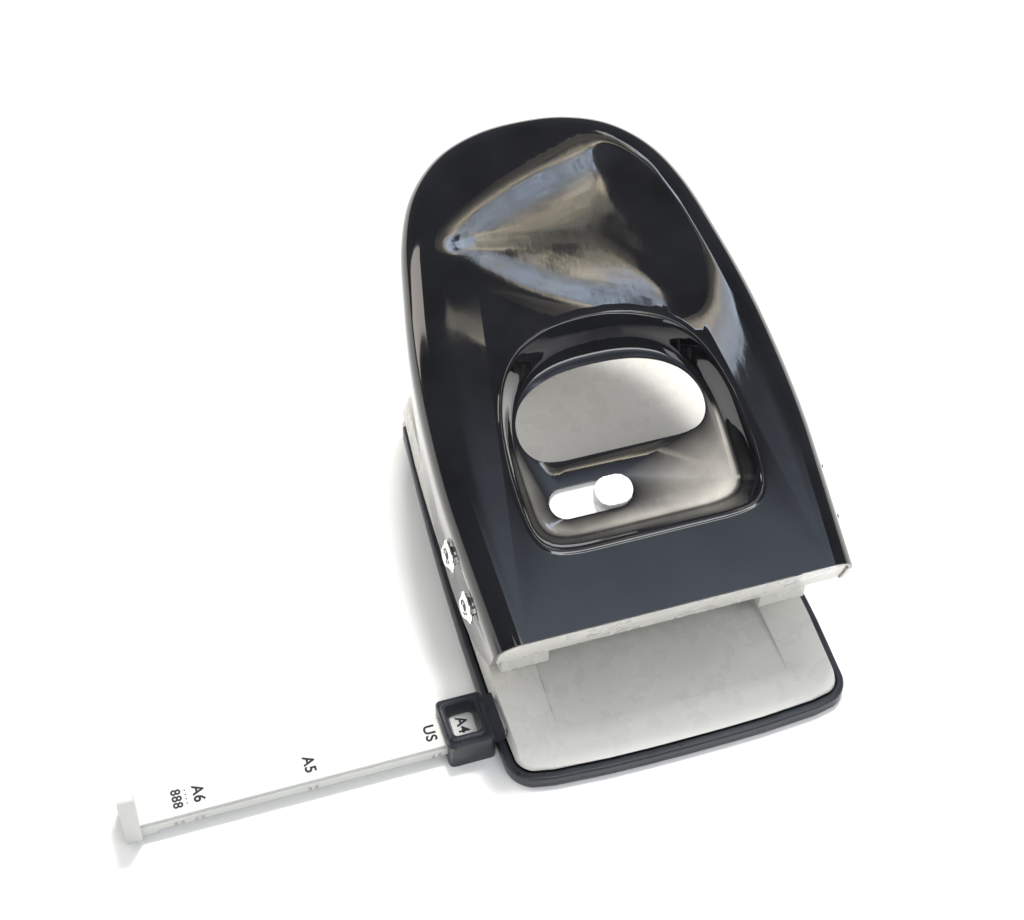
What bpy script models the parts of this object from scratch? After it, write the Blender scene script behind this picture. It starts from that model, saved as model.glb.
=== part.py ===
"""Two-hole office punch with a raised lever handle and a pull-out sheet format bar.

Frame: +X right, +Y towards the palm end of the handle, +Z up, origin on the table under the
middle of the base. Sheets enter from -Y. Every size is in metres.
"""

import math

import bmesh
import bpy
from mathutils import Matrix, Vector

MM = 0.001
CLEARANCE = 0.3 * MM  # between pieces that touch or run on each other

# Punching standard and format bar
HOLE_SPACING = 80 * MM
HOLE_FROM_SHEET_EDGE = 12 * MM
SHEET_HALF_A4 = 148.5 * MM
BAR_TRAVEL = 80 * MM  # from the A4 setting to the 888 setting

# Base
BASE_HALF_WIDTH = 50.6 * MM
BASE_FRONT = 73 * MM  # ahead of the origin
BASE_REAR = 70 * MM  # behind the origin
RIM_REAR = 60 * MM
RIM_HEIGHT = 4.5 * MM
RIM_STEP = 2.6 * MM  # how far the black rim stands out of the grey body
RIM_WALL = 2.0 * MM
FLOOR_TOP = 1.8 * MM
DECK_HEIGHT = 10.2 * MM  # the sheet lies here
LIP_HEIGHT = 8.4 * MM  # front edge of the base's upper face
LIP_SETBACK = 8.5 * MM  # run of the slanted front face
BODY_WALL = 1.5 * MM
SCOOP_HALF_WIDTH = 34.5 * MM
SCOOP_FLOOR = 6.9 * MM
SCOOP_DRAFT = 2.0 * MM

# Handle, measured along its upper face from the front edge
HANDLE_LENGTH = 153 * MM
HANDLE_FRONT_HALF = 50.9 * MM
HANDLE_WIDEST_HALF = 52.9 * MM
HANDLE_NECK_HALF = 47.4 * MM
HANDLE_WALL = 1.2 * MM
SHOULDER = 8 * MM
SKIRT_DEPTH = 32 * MM
SKIRT_FRONT_DEPTH = 16 * MM
SKIRT_PALM_DEPTH = 12 * MM
REST_TILT = math.radians(18.33)
PRESS_ANGLE = math.radians(26)
RECESS_HALF_WIDTH = 32.5 * MM
RECESS_START = 22 * MM
RECESS_END = 84 * MM
RECESS_DEPTH = 7.7 * MM
RECESS_DRAFT = 4 * MM
WINDOW_START = 49 * MM
WINDOW_END = 74 * MM
WINDOW_HALF_WIDTH = 27 * MM
SLOT_LEFT = -24.4 * MM
SLOT_RIGHT = -0.8 * MM
SLOT_MIDDLE = 36.8 * MM
SLOT_WIDTH = 9.2 * MM
FASCIA_HEIGHT = 15.5 * MM
FASCIA_THICKNESS = 3 * MM

# Lever mechanism
PIVOT_Y = -34.9 * MM
PIVOT_Z = 40.7 * MM
PIVOT_FROM_FRONT = 17 * MM
AXLE_DEPTH = 14.5 * MM  # axle line below the handle's upper face
AXLE_SPACING = 15 * MM
AXLE_RADIUS = 2.5 * MM
CAP_RADIUS = 4.7 * MM
PIN_RADIUS = 2.75 * MM
PIN_REST_TIP = 15.0 * MM
DIE_THICKNESS = 1.5 * MM
THROAT = 4.6 * MM  # sheet gap between the deck and the punch housings
EAR_MIDDLE = 46.75 * MM
STEEL = 1.5 * MM
HOUSING_INNER = 31.2 * MM
HOUSING_OUTER = 44.9 * MM
HOUSING_FRONT = 42.3 * MM
HOUSING_TOP = 36 * MM
HOUSING_WALL = 1.5 * MM
BUSH_RADIUS = 4 * MM
SPRING_RADIUS = 4.1 * MM
SPRING_WIRE = 0.45 * MM
SPRING_TURNS = 5

# Format bar and its guide head
BAR_Y = -50 * MM
BAR_WIDTH = 10 * MM
BAR_TOP = 6.8 * MM
BAR_THICKNESS = 4.2 * MM
STOP_THICKNESS = 4.5 * MM
STOP_WIDTH = 12.2 * MM
STOP_HEIGHT = 22.5 * MM
HEAD_LENGTH = 13.2 * MM
HEAD_WIDTH = 16 * MM
HEAD_TOP = 11 * MM

# Lock slider
KNOB_LENGTH = 10.6 * MM
KNOB_RISE = 2.2 * MM
SLIDER_PLATE = 1.2 * MM
LOCK_TRAVEL = SLOT_RIGHT - SLOT_LEFT - KNOB_LENGTH - 2 * CLEARANCE

# Chip hatch in the bottom
HATCH_HALF_WIDTH = 38 * MM
HATCH_FRONT = 10 * MM
HATCH_PIN_Y = 57.5 * MM
HATCH_PIN_Z = 2.6 * MM

# Derived places
DECK_PLATE_TOP = DECK_HEIGHT
DIE_BOTTOM = DECK_HEIGHT - DIE_THICKNESS
HOUSING_BOTTOM = DECK_HEIGHT + THROAT
GUIDE_BOTTOM = HOUSING_BOTTOM + 2.2 * MM
GUIDE_TOP = GUIDE_BOTTOM + STEEL
PIN_X = HOLE_SPACING / 2
PIN_Y = PIVOT_Y + AXLE_SPACING * 0.975
STOP_WALL_Y = PIN_Y + HOLE_FROM_SHEET_EDGE
DRIVE_AXLE_Z = PIVOT_Z + AXLE_SPACING * math.sin(REST_TILT)
PIN_TOP = DRIVE_AXLE_Z - AXLE_RADIUS - CLEARANCE
PIN_TRAVEL = AXLE_SPACING * (math.sin(REST_TILT) - math.sin(REST_TILT - PRESS_ANGLE))
STOP_X = -SHEET_HALF_A4
BAR_INNER_END = BASE_HALF_WIDTH - RIM_STEP - BODY_WALL - 2.2 * MM - BAR_TRAVEL
BAR_BOTTOM = BAR_TOP - BAR_THICKNESS
SIDES = (("left", -1), ("right", 1))

MATERIALS = {
    "black_enamel": ((0.012, 0.013, 0.016), 0.12, 0.0),
    "black_plastic": ((0.028, 0.031, 0.036), 0.42, 0.0),
    "grey_plastic": ((0.57, 0.56, 0.53), 0.45, 0.0),
    "white_plastic": ((0.72, 0.72, 0.68), 0.40, 0.0),
    "knob_plastic": ((0.62, 0.62, 0.60), 0.45, 0.0),
    "zinc_steel": ((0.55, 0.55, 0.54), 0.35, 1.0),
    "bright_nickel": ((0.78, 0.76, 0.72), 0.18, 1.0),
    "spring_steel": ((0.42, 0.42, 0.43), 0.30, 1.0),
    "rubber": ((0.03, 0.03, 0.03), 0.85, 0.0),
}


# ---------------------------------------------------------------- helpers


def clear_scene():
    for obj in list(bpy.data.objects):
        bpy.data.objects.remove(obj, do_unlink=True)


def new_collection(name):
    collection = bpy.data.collections.new(name)
    bpy.context.scene.collection.children.link(collection)
    return collection


def material(name):
    found = bpy.data.materials.get(name)
    if found:
        return found
    colour, roughness, metallic = MATERIALS[name]
    made = bpy.data.materials.new(name)
    made.use_nodes = True
    shader = made.node_tree.nodes["Principled BSDF"]
    shader.inputs["Base Color"].default_value = (*colour, 1.0)
    shader.inputs["Roughness"].default_value = roughness
    shader.inputs["Metallic"].default_value = metallic
    made.diffuse_color = (*colour, 1.0)
    return made


def add_object(name, bm, finish=None, parent=None):
    """Turn a bmesh into an object: a part when it has a finish, a cutter when it has none."""
    mesh = bpy.data.meshes.new(name)
    bm.to_mesh(mesh)
    bm.free()
    obj = bpy.data.objects.new(name, mesh)
    if finish:
        mesh.materials.append(material(finish))
        PARTS.objects.link(obj)
    else:
        CUTTERS.objects.link(obj)
        obj.hide_render = True
        obj.display_type = "WIRE"
    if parent:
        obj.parent = parent
    return obj


def combine(obj, cutter, operation="DIFFERENCE"):
    modifier = obj.modifiers.new(cutter.name, "BOOLEAN")
    modifier.operation = operation
    modifier.solver = "EXACT"
    modifier.object = cutter


def box(low, high):
    bm = bmesh.new()
    bmesh.ops.create_cube(bm, size=1.0)
    size = Vector(high) - Vector(low)
    middle = (Vector(high) + Vector(low)) / 2
    bmesh.ops.transform(
        bm, matrix=Matrix.Translation(middle) @ Matrix.Diagonal((*size, 1)), verts=bm.verts
    )
    return bm


def prism(outline, low, high, axis="Z"):
    """Extrude a closed 2-D outline along an axis. Points are (x, y), (y, z) or (x, z)."""
    place = {
        "Z": lambda p: (p[0], p[1], low),
        "X": lambda p: (low, p[0], p[1]),
        "Y": lambda p: (p[0], low, p[1]),
    }[axis]
    run = {"Z": (0, 0, high - low), "X": (high - low, 0, 0), "Y": (0, high - low, 0)}[axis]
    bm = bmesh.new()
    face = bm.faces.new([bm.verts.new(place(p)) for p in outline])
    made = bmesh.ops.extrude_face_region(bm, geom=[face])["geom"]
    moved = [item for item in made if isinstance(item, bmesh.types.BMVert)]
    bmesh.ops.translate(bm, verts=moved, vec=run)
    bmesh.ops.recalc_face_normals(bm, faces=bm.faces)
    return bm


def loft(lower, upper, low, high):
    """A closed solid between two outlines with the same number of points."""
    bm = bmesh.new()
    rings = []
    for outline, z in ((lower, low), (upper, high)):
        verts = [bm.verts.new((x, y, z)) for x, y in outline]
        rings.append([bm.edges.new((a, b)) for a, b in zip(verts, verts[1:] + verts[:1])])
        bm.faces.new(verts)
    bmesh.ops.bridge_loops(bm, edges=rings[0] + rings[1])
    bmesh.ops.recalc_face_normals(bm, faces=bm.faces)
    return bm


def cylinder(start, end, radius, segments=24, end_radius=None):
    start, end = Vector(start), Vector(end)
    run = end - start
    bm = bmesh.new()
    turn = run.to_track_quat("Z", "Y").to_matrix().to_4x4()
    bmesh.ops.create_cone(
        bm,
        cap_ends=True,
        segments=segments,
        radius1=radius,
        radius2=radius if end_radius is None else end_radius,
        depth=run.length,
        matrix=Matrix.Translation((start + end) / 2) @ turn,
    )
    return bm


def lathe(name, profile, centre, finish, steps=20, parent=None):
    """Turn an outer-side profile, top to bottom, round Z with a Screw modifier."""
    bm = bmesh.new()
    verts = [bm.verts.new((r, 0, z)) for r, z in profile]
    for a, b in zip(verts, verts[1:]):
        bm.edges.new((a, b))
    if profile[0][0] > 0 and profile[-1][0] > 0:
        bm.edges.new((verts[-1], verts[0]))
    obj = add_object(name, bm, finish, parent)
    obj.location = centre
    screw = obj.modifiers.new("turn", "SCREW")
    screw.steps = steps
    screw.render_steps = steps
    screw.use_merge_vertices = True
    screw.merge_threshold = 0.00001
    return obj


def arc(centre, radius, start, end, steps):
    """Points on an arc, angles in degrees."""
    angles = [math.radians(start + (end - start) * i / steps) for i in range(steps + 1)]
    return [(centre[0] + radius * math.cos(a), centre[1] + radius * math.sin(a)) for a in angles]


def rounded_box(low, high, radius, steps=4):
    (x0, y0), (x1, y1) = low, high
    corners = (
        ((x1 - radius, y0 + radius), -90),
        ((x1 - radius, y1 - radius), 0),
        ((x0 + radius, y1 - radius), 90),
        ((x0 + radius, y0 + radius), 180),
    )
    points = []
    for centre, start in corners:
        points += arc(centre, radius, start, start + 90, steps)
    return points


def smooth_path(points, steps):
    """Catmull-Rom curve through the points, without moving the two ends."""
    points = [Vector(p) for p in points]
    padded = [2 * points[0] - points[1], *points, 2 * points[-1] - points[-2]]
    path = []
    for a, b, c, d in zip(padded, padded[1:], padded[2:], padded[3:]):
        for i in range(steps):
            t = i / steps
            path.append(
                0.5 * (2 * b + (c - a) * t + (2 * a - 5 * b + 4 * c - d) * t * t
                       + (3 * b - a - 3 * c + d) * t ** 3)
            )
    path.append(points[-1])
    return [tuple(p) for p in path]


def inset(outline, distance):
    """Offset a closed, counter-clockwise outline inwards, with mitred corners."""
    count = len(outline)
    moved = []
    for i, point in enumerate(outline):
        here = Vector(point)
        first = (here - Vector(outline[i - 1])).normalized()
        second = (Vector(outline[(i + 1) % count]) - here).normalized()
        normal = Vector((-first.y - second.y, first.x + second.x))
        shift = normal * distance / (1 + first.dot(second))
        moved.append((here.x + shift.x, here.y + shift.y))
    return moved


def mirrored(half):
    """Close a half outline that runs from the front middle to the rear middle on +X."""
    inner = [p for p in half if p[0] > 1e-7]
    left = [(-x, y) for x, y in reversed(inner)]
    return half + left


def empty(name, location, tilt=0.0):
    holder = bpy.data.objects.new(name, None)
    holder.location = location
    holder.rotation_euler = (tilt, 0, 0)
    holder.empty_display_size = 0.01
    PARTS.objects.link(holder)
    return holder


def smooth(obj, degrees=35):
    obj.data.shade_smooth()
    obj.data.set_sharp_from_angle(angle=math.radians(degrees))


# ---------------------------------------------------------------- base


def base_outline(distance=0.0, rear=BASE_REAR):
    """Outline of the base, seen from above, counter-clockwise from the front middle."""
    w = BASE_HALF_WIDTH
    front = BASE_FRONT
    corner = (0.000, 0.6, 1.3)
    half = [(0, -front), (w * 0.40, -front + 0.3 * MM), (w - 12.6 * MM, -front + corner[2] * MM)]
    half += arc((w - 9.2 * MM, -front + 10.6 * MM), 8.6 * MM, -68, -8, 5)
    for y in (-40 * MM, -15 * MM, 10 * MM, 35 * MM):
        half.append((w - 0.45 * (y + 50 * MM) ** 2, y))
    rear_half = w - 0.45 * (rear - 9 * MM + 50 * MM) ** 2
    half += arc((rear_half - 9 * MM, rear - 9 * MM), 9 * MM, 0, 90, 5)
    half.append((0, rear))
    return inset(mirrored(half), distance)


def make_base_rim():
    rim = add_object(
        "base_rim", prism(base_outline(), 0, RIM_HEIGHT), "black_plastic"
    )
    inside = add_object(
        "rim_inside", prism(base_outline(RIM_WALL), FLOOR_TOP, RIM_HEIGHT + 5 * MM)
    )
    behind = add_object(
        "rim_end",
        box((-0.1, RIM_REAR, -0.01), (0.1, BASE_REAR + 0.01, 0.02)),
    )
    opening = add_object(
        "hatch_opening",
        box((-HATCH_HALF_WIDTH - 2 * CLEARANCE, HATCH_FRONT - CLEARANCE, -0.01),
            (HATCH_HALF_WIDTH + 2 * CLEARANCE, RIM_REAR + 0.01, 0.01)),
    )
    passage = add_object(
        "bar_passage",
        box((-BASE_HALF_WIDTH - 0.01, BAR_Y - BAR_WIDTH / 2 - 2 * CLEARANCE, FLOOR_TOP),
            (-BASE_HALF_WIDTH + 8 * MM, BAR_Y + BAR_WIDTH / 2 + 2 * CLEARANCE, 0.02)),
    )
    for cutter in (inside, behind, opening, passage):
        combine(rim, cutter)
    for x, y in SCREW_PLACES:
        hole = add_object("rim_screw_hole", cylinder((x, y, -0.01), (x, y, 0.01), 1.9 * MM, 16))
        combine(rim, hole)
        seat = add_object("rim_screw_seat", cylinder((x, y, -0.01), (x, y, 1.0 * MM), 3.3 * MM, 16))
        combine(rim, seat)
    for side, sign in SIDES:
        socket = add_object(
            "hatch_pin_socket",
            cylinder((sign * (HATCH_HALF_WIDTH - 1 * MM), HATCH_PIN_Y, HATCH_PIN_Z),
                     (sign * (HATCH_HALF_WIDTH + 4 * MM), HATCH_PIN_Y, HATCH_PIN_Z), 1.3 * MM, 12),
        )
        boss = add_object(
            "hatch_pin_boss",
            box((min(sign * (HATCH_HALF_WIDTH + 0.9 * MM), sign * (HATCH_HALF_WIDTH + 5 * MM)),
                 HATCH_PIN_Y - 2.3 * MM, 0.9 * MM),
                (max(sign * (HATCH_HALF_WIDTH + 0.9 * MM), sign * (HATCH_HALF_WIDTH + 5 * MM)),
                 HATCH_PIN_Y + 2.3 * MM, 4.4 * MM)),
        )
        combine(rim, boss, "UNION")
        combine(rim, socket)
    return rim


def body_profile(drop):
    """Side profile (y, z) of the grey base, lowered by drop."""
    front = -BASE_FRONT + RIM_STEP
    lip = front + LIP_SETBACK
    return [
        (front - 5 * MM, RIM_HEIGHT + CLEARANCE - drop * 4),
        (front - 0.3 * MM, RIM_HEIGHT + CLEARANCE - drop),
        (lip, LIP_HEIGHT - drop),
        (PIVOT_Y + 5 * MM, DECK_HEIGHT - drop),
        (BASE_REAR - 8 * MM, DECK_HEIGHT - drop),
        (BASE_REAR - 2 * MM, DECK_HEIGHT - 2.5 * MM - drop),
        (BASE_REAR + 5 * MM, RIM_HEIGHT - drop),
        (BASE_REAR + 5 * MM, -0.02),
        (front - 5 * MM, -0.02),
    ]


def make_base_body():
    bottom = RIM_HEIGHT + CLEARANCE
    rear = BASE_REAR + RIM_STEP
    outer = base_outline(RIM_STEP, rear)
    body = add_object("base_body", loft(outer, base_outline(RIM_STEP + 1.4 * MM, rear), bottom,
                                        DECK_HEIGHT + 1 * MM), "grey_plastic")
    shape = add_object("body_side_profile", prism(body_profile(0), -0.1, 0.1, "X"))
    combine(body, shape, "INTERSECT")
    rear_wall = add_object(
        "body_rear_wall",
        box((-HATCH_HALF_WIDTH + 2 * MM, RIM_REAR + 0.6 * MM, 0.4 * MM),
            (HATCH_HALF_WIDTH - 2 * MM, BASE_REAR - 1.2 * MM, bottom + 2 * MM)),
    )
    combine(body, rear_wall, "UNION")
    wall = RIM_STEP + BODY_WALL
    inside = loft(base_outline(wall, rear), base_outline(wall + 1.4 * MM, rear), bottom - 5 * MM,
                  DECK_HEIGHT + 1 * MM)
    hollow = add_object("body_hollow", inside)
    hollow_shape = add_object(
        "body_hollow_profile", prism(body_profile(BODY_WALL), -0.09, 0.09, "X")
    )
    combine(hollow, hollow_shape, "INTERSECT")
    keep_rear = add_object(
        "body_hollow_end", box((-0.1, RIM_REAR, -0.05), (0.1, BASE_REAR + 0.02, 0.05))
    )
    combine(hollow, keep_rear)
    combine(body, hollow)
    ledge = add_object(
        "chassis_ledge",
        box((-EAR_MIDDLE + 0.6 * MM, CHASSIS_FRONT - 2.5 * MM, SCOOP_FLOOR - BODY_WALL),
            (EAR_MIDDLE - 0.6 * MM, CHASSIS_REAR + 2 * MM, DECK_HEIGHT - 0.5 * MM)),
    )
    combine(body, ledge, "UNION")
    under = SCOOP_HALF_WIDTH + BODY_WALL
    scoop_floor = [
        (-61 * MM, BAR_TOP + CLEARANCE), (-44.2 * MM, BAR_TOP + CLEARANCE),
        (CHASSIS_FRONT - 1 * MM, SCOOP_FLOOR - BODY_WALL), (CHASSIS_FRONT - 1 * MM, DECK_HEIGHT - 0.6 * MM),
        (-61 * MM, LIP_HEIGHT - 0.2 * MM),
    ]
    slab = add_object("scoop_slab", prism(scoop_floor, -under, under, "X"))
    combine(body, slab, "UNION")
    pocket = add_object(
        "chassis_pocket",
        box((-CHASSIS_HALF - CLEARANCE, CHASSIS_FRONT - CLEARANCE, DIE_BOTTOM - CLEARANCE),
            (CHASSIS_HALF + CLEARANCE, CHASSIS_REAR + CLEARANCE, 0.03)),
    )
    chute = add_object(
        "chip_chute",
        box((-CHASSIS_HALF + 0.8 * MM, CHASSIS_FRONT + 2 * MM, -0.01),
            (CHASSIS_HALF - 0.8 * MM, STOP_WALL_Y - 2 * MM, 0.03)),
    )
    combine(body, pocket)
    combine(body, chute)
    combine(body, scoop_cutter())
    passage = add_object(
        "body_bar_passage",
        box((-BASE_HALF_WIDTH - 0.01, BAR_Y - BAR_WIDTH / 2 - 2 * CLEARANCE, 0),
            (-BASE_HALF_WIDTH + 8 * MM, BAR_Y + BAR_WIDTH / 2 + 2 * CLEARANCE,
             BAR_TOP + CLEARANCE)),
    )
    combine(body, passage)
    for x, y in SCREW_PLACES:
        boss = add_object(
            "screw_boss",
            cylinder((x, y, FLOOR_TOP + CLEARANCE), (x, y, BOSS_TOP), 3 * MM, 16),
        )
        hole = add_object("boss_hole", cylinder((x, y, 0), (x, y, SCREW_END + CLEARANCE), 1.8 * MM, 12))
        combine(body, boss, "UNION")
        combine(body, hole)
    for x, y in CHASSIS_SCREWS:
        hole = add_object("ledge_hole", cylinder((x, y, 0), (x, y, 0.02), 1.8 * MM, 12))
        combine(body, hole)
    return body


def scoop_cutter():
    """Wedge with drafted sides: nothing at the front lip, deepest under the handle."""
    lip = -BASE_FRONT + RIM_STEP + LIP_SETBACK + 2 * MM
    end = CHASSIS_FRONT
    w = SCOOP_HALF_WIDTH
    bm = bmesh.new()
    top = 0.02
    sections = (
        (lip, LIP_HEIGHT + 0.05 * MM, w),
        (BAR_Y + 6 * MM, LIP_HEIGHT - 0.25 * MM, w - 0.6 * MM),
        (end, SCOOP_FLOOR, w - SCOOP_DRAFT),
    )
    rings = []
    for y, z, half in sections:
        corners = ((-half, z), (half, z), (w + (top - z) * 0.02, top), (-w - (top - z) * 0.02, top))
        rings.append([bm.verts.new((x, y, height)) for x, height in corners])
    for first, second in zip(rings, rings[1:]):
        for i in range(4):
            j = (i + 1) % 4
            bm.faces.new((first[i], first[j], second[j], second[i]))
    bm.faces.new(rings[0])
    bm.faces.new(rings[-1])
    bmesh.ops.recalc_face_normals(bm, faces=bm.faces)
    return add_object("finger_scoop", bm)


def make_base_screws():
    for i, (x, y) in enumerate(SCREW_PLACES):
        low = 0.3 * MM
        lathe(
            f"base_screw_{i + 1}",
            [(0, SCREW_END), (1.5 * MM, SCREW_END), (1.5 * MM, 1.0 * MM - CLEARANCE),
             (3.0 * MM, 1.0 * MM - CLEARANCE), (3.0 * MM, low), (0, low)],
            (x, y, 0), "zinc_steel", 16,
        )
    for i, (x, y) in enumerate(CHASSIS_SCREWS):
        top = DECK_PLATE_TOP + CLEARANCE + 1.4 * MM
        lathe(
            f"chassis_screw_{i + 1}",
            [(0, top), (2.4 * MM, top), (3.0 * MM, DECK_PLATE_TOP + CLEARANCE),
             (1.5 * MM, DECK_PLATE_TOP + CLEARANCE), (1.5 * MM, FLOOR_TOP + 1.5 * MM),
             (0, FLOOR_TOP + 1.5 * MM)],
            (x, y, 0), "zinc_steel", 16,
        )


def make_hatch():
    """Flap in the bottom, turning down about its pin at the rear to let the chips out."""
    w = HATCH_HALF_WIDTH
    holder = empty("hatch_pivot", (0, HATCH_PIN_Y, HATCH_PIN_Z))
    plate = rounded_box((-w, HATCH_FRONT + CLEARANCE), (w, HATCH_PIN_Y - 3 * MM), 2 * MM, 3)
    plate = [(x, y - HATCH_PIN_Y) for x, y in plate]
    hatch = add_object("chip_hatch", prism(plate, CLEARANCE - HATCH_PIN_Z, FLOOR_TOP - HATCH_PIN_Z),
                       "black_plastic", holder)
    knuckle = add_object(
        "hatch_knuckle", cylinder((-w, 0, 0), (w, 0, 0), 2.2 * MM, 16), parent=holder
    )
    web = add_object(
        "hatch_web",
        box((-w, -4 * MM, -HATCH_PIN_Z + 0.4 * MM), (w, 0, FLOOR_TOP - HATCH_PIN_Z)),
        parent=holder,
    )
    bore = add_object("hatch_bore", cylinder((-0.1, 0, 0), (0.1, 0, 0), 1.3 * MM, 12), parent=holder)
    rib_low = HATCH_FRONT + 2 * MM - HATCH_PIN_Y
    latch = add_object(
        "hatch_latch",
        box((-6 * MM, rib_low, FLOOR_TOP - HATCH_PIN_Z - 0.3 * MM),
            (6 * MM, rib_low + 1.5 * MM, FLOOR_TOP - HATCH_PIN_Z + 2.2 * MM)),
        parent=holder,
    )
    combine(hatch, web, "UNION")
    combine(hatch, knuckle, "UNION")
    combine(hatch, latch, "UNION")
    combine(hatch, bore)
    reach = w + 4 * MM - CLEARANCE
    pin = add_object(
        "hatch_pin",
        cylinder((-reach, HATCH_PIN_Y, HATCH_PIN_Z), (reach, HATCH_PIN_Y, HATCH_PIN_Z), 1.0 * MM, 12),
        "zinc_steel",
    )
    smooth(pin)


def make_pads():
    """Anti-slip pads on the underside, let into the black bottom."""
    for name, x, y in PAD_PLACES:
        lathe(
            f"pad_{name}",
            [(0, PAD_HEIGHT), (PAD_RADIUS, PAD_HEIGHT), (PAD_RADIUS, 0), (0, 0)],
            (x, y, 0), "rubber", 20,
        )


# ---------------------------------------------------------------- chassis


def make_chassis():
    """C-shaped steel frame: die plate, stop wall, guide plate and two ears for the axles."""
    half = CHASSIS_HALF
    wall = STOP_WALL_Y
    profile = [
        (CHASSIS_FRONT, DIE_BOTTOM), (CHASSIS_REAR, DIE_BOTTOM), (CHASSIS_REAR, DECK_PLATE_TOP),
        (wall + STEEL, DECK_PLATE_TOP), (wall + STEEL, GUIDE_TOP), (GUIDE_FRONT, GUIDE_TOP),
        (GUIDE_FRONT, GUIDE_BOTTOM), (wall, GUIDE_BOTTOM), (wall, DECK_PLATE_TOP),
        (CHASSIS_FRONT, DECK_PLATE_TOP),
    ]
    chassis = add_object("chassis", prism(profile, -half, half, "X"), "zinc_steel")
    ear_top = PIVOT_Z + 8.2 * MM
    ear = [(GUIDE_FRONT + 3 * MM, GUIDE_BOTTOM), (wall + STEEL, GUIDE_BOTTOM),
           (wall - 2 * MM, ear_top - 6 * MM)]
    ear += arc((wall - 7 * MM, ear_top - 5 * MM), 5 * MM, 10, 90, 4)
    ear += arc((PIVOT_Y, PIVOT_Z), 7.6 * MM, 80, 200, 8)
    for side, sign in SIDES:
        x0 = sign * EAR_MIDDLE - STEEL / 2
        plate = add_object(f"ear_{side}", prism(ear, x0, x0 + STEEL, "X"))
        combine(chassis, plate, "UNION")
        inner = sign * (half - 1 * MM)
        outer = sign * EAR_MIDDLE
        bridge = add_object(
            f"ear_foot_{side}",
            box((min(inner, outer), GUIDE_FRONT + 3 * MM, GUIDE_BOTTOM),
                (max(inner, outer), wall + STEEL, GUIDE_TOP)),
        )
        combine(chassis, bridge, "UNION")
    reach = EAR_MIDDLE + 0.01
    pivot_hole = add_object(
        "pivot_hole",
        cylinder((-reach, PIVOT_Y, PIVOT_Z), (reach, PIVOT_Y, PIVOT_Z), AXLE_RADIUS + CLEARANCE, 24),
    )
    combine(chassis, pivot_hole)
    slot_points = []
    for step in range(9):
        angle = REST_TILT + math.radians(2) - (PRESS_ANGLE + math.radians(4)) * step / 8
        slot_points.append(angle)
    outer_r = AXLE_SPACING + AXLE_RADIUS + CLEARANCE
    inner_r = AXLE_SPACING - AXLE_RADIUS - CLEARANCE
    slot = [(PIVOT_Y + outer_r * math.cos(a), PIVOT_Z + outer_r * math.sin(a)) for a in slot_points]
    end = slot_points[-1]
    middle = (PIVOT_Y + AXLE_SPACING * math.cos(end), PIVOT_Z + AXLE_SPACING * math.sin(end))
    turn = math.degrees(end)
    slot += arc(middle, AXLE_RADIUS + CLEARANCE, turn, turn - 180, 6)[1:-1]
    slot += [(PIVOT_Y + inner_r * math.cos(a), PIVOT_Z + inner_r * math.sin(a))
             for a in reversed(slot_points)]
    start = slot_points[0]
    middle = (PIVOT_Y + AXLE_SPACING * math.cos(start), PIVOT_Z + AXLE_SPACING * math.sin(start))
    turn = math.degrees(start)
    slot += arc(middle, AXLE_RADIUS + CLEARANCE, turn - 180, turn - 360, 6)[1:-1]
    arc_slot = add_object("drive_slot", prism(slot, -reach, reach, "X"))
    combine(chassis, arc_slot)
    for side, sign in SIDES:
        x = sign * PIN_X
        die = add_object(
            "die_hole",
            cylinder((x, PIN_Y, 0), (x, PIN_Y, DECK_PLATE_TOP + 1 * MM), PIN_RADIUS + CLEARANCE, 24),
        )
        seat = add_object(
            "bush_hole",
            cylinder((x, PIN_Y, DECK_PLATE_TOP + 2 * MM), (x, PIN_Y, GUIDE_TOP + 2 * MM),
                     BUSH_RADIUS + CLEARANCE, 24),
        )
        combine(chassis, die)
        combine(chassis, seat)
    for x, y in CHASSIS_SCREWS:
        hole = add_object("chassis_screw_hole", cylinder((x, y, 0), (x, y, 0.015), 1.8 * MM, 12))
        combine(chassis, hole)
    return chassis


def make_housing(side, sign):
    """Plastic nose over a punch: front, inner side and top, open to the ear beside it."""
    x0, x1 = sorted((sign * HOUSING_INNER, sign * HOUSING_OUTER))
    rear = STOP_WALL_Y - 3.5 * MM
    outline = rounded_box((-HOUSING_FRONT, HOUSING_BOTTOM), (rear, HOUSING_TOP), 2 * MM, 3)
    housing = add_object(f"punch_housing_{side}", prism(outline, x0, x1, "X"), "grey_plastic")
    inner = sign * (HOUSING_INNER + HOUSING_WALL)
    outer = sign * (HOUSING_OUTER + 5 * MM)
    cavity = add_object(
        f"housing_cavity_{side}",
        box((min(inner, outer), -HOUSING_FRONT + HOUSING_WALL, HOUSING_BOTTOM + HOUSING_WALL),
            (max(inner, outer), rear + 5 * MM, HOUSING_TOP - HOUSING_WALL)),
    )
    seat = add_object(
        f"housing_seat_{side}",
        box((x0 - 1 * MM, GUIDE_FRONT - CLEARANCE, 0),
            (x1 + 1 * MM, rear + 5 * MM, GUIDE_TOP + CLEARANCE)),
    )
    hole = add_object(
        f"housing_hole_{side}",
        cylinder((sign * PIN_X, PIN_Y, 0.02), (sign * PIN_X, PIN_Y, 0.06),
                 PIN_RADIUS + 0.6 * MM, 20),
    )
    combine(housing, cavity)
    combine(housing, seat)
    combine(housing, hole)


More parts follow.
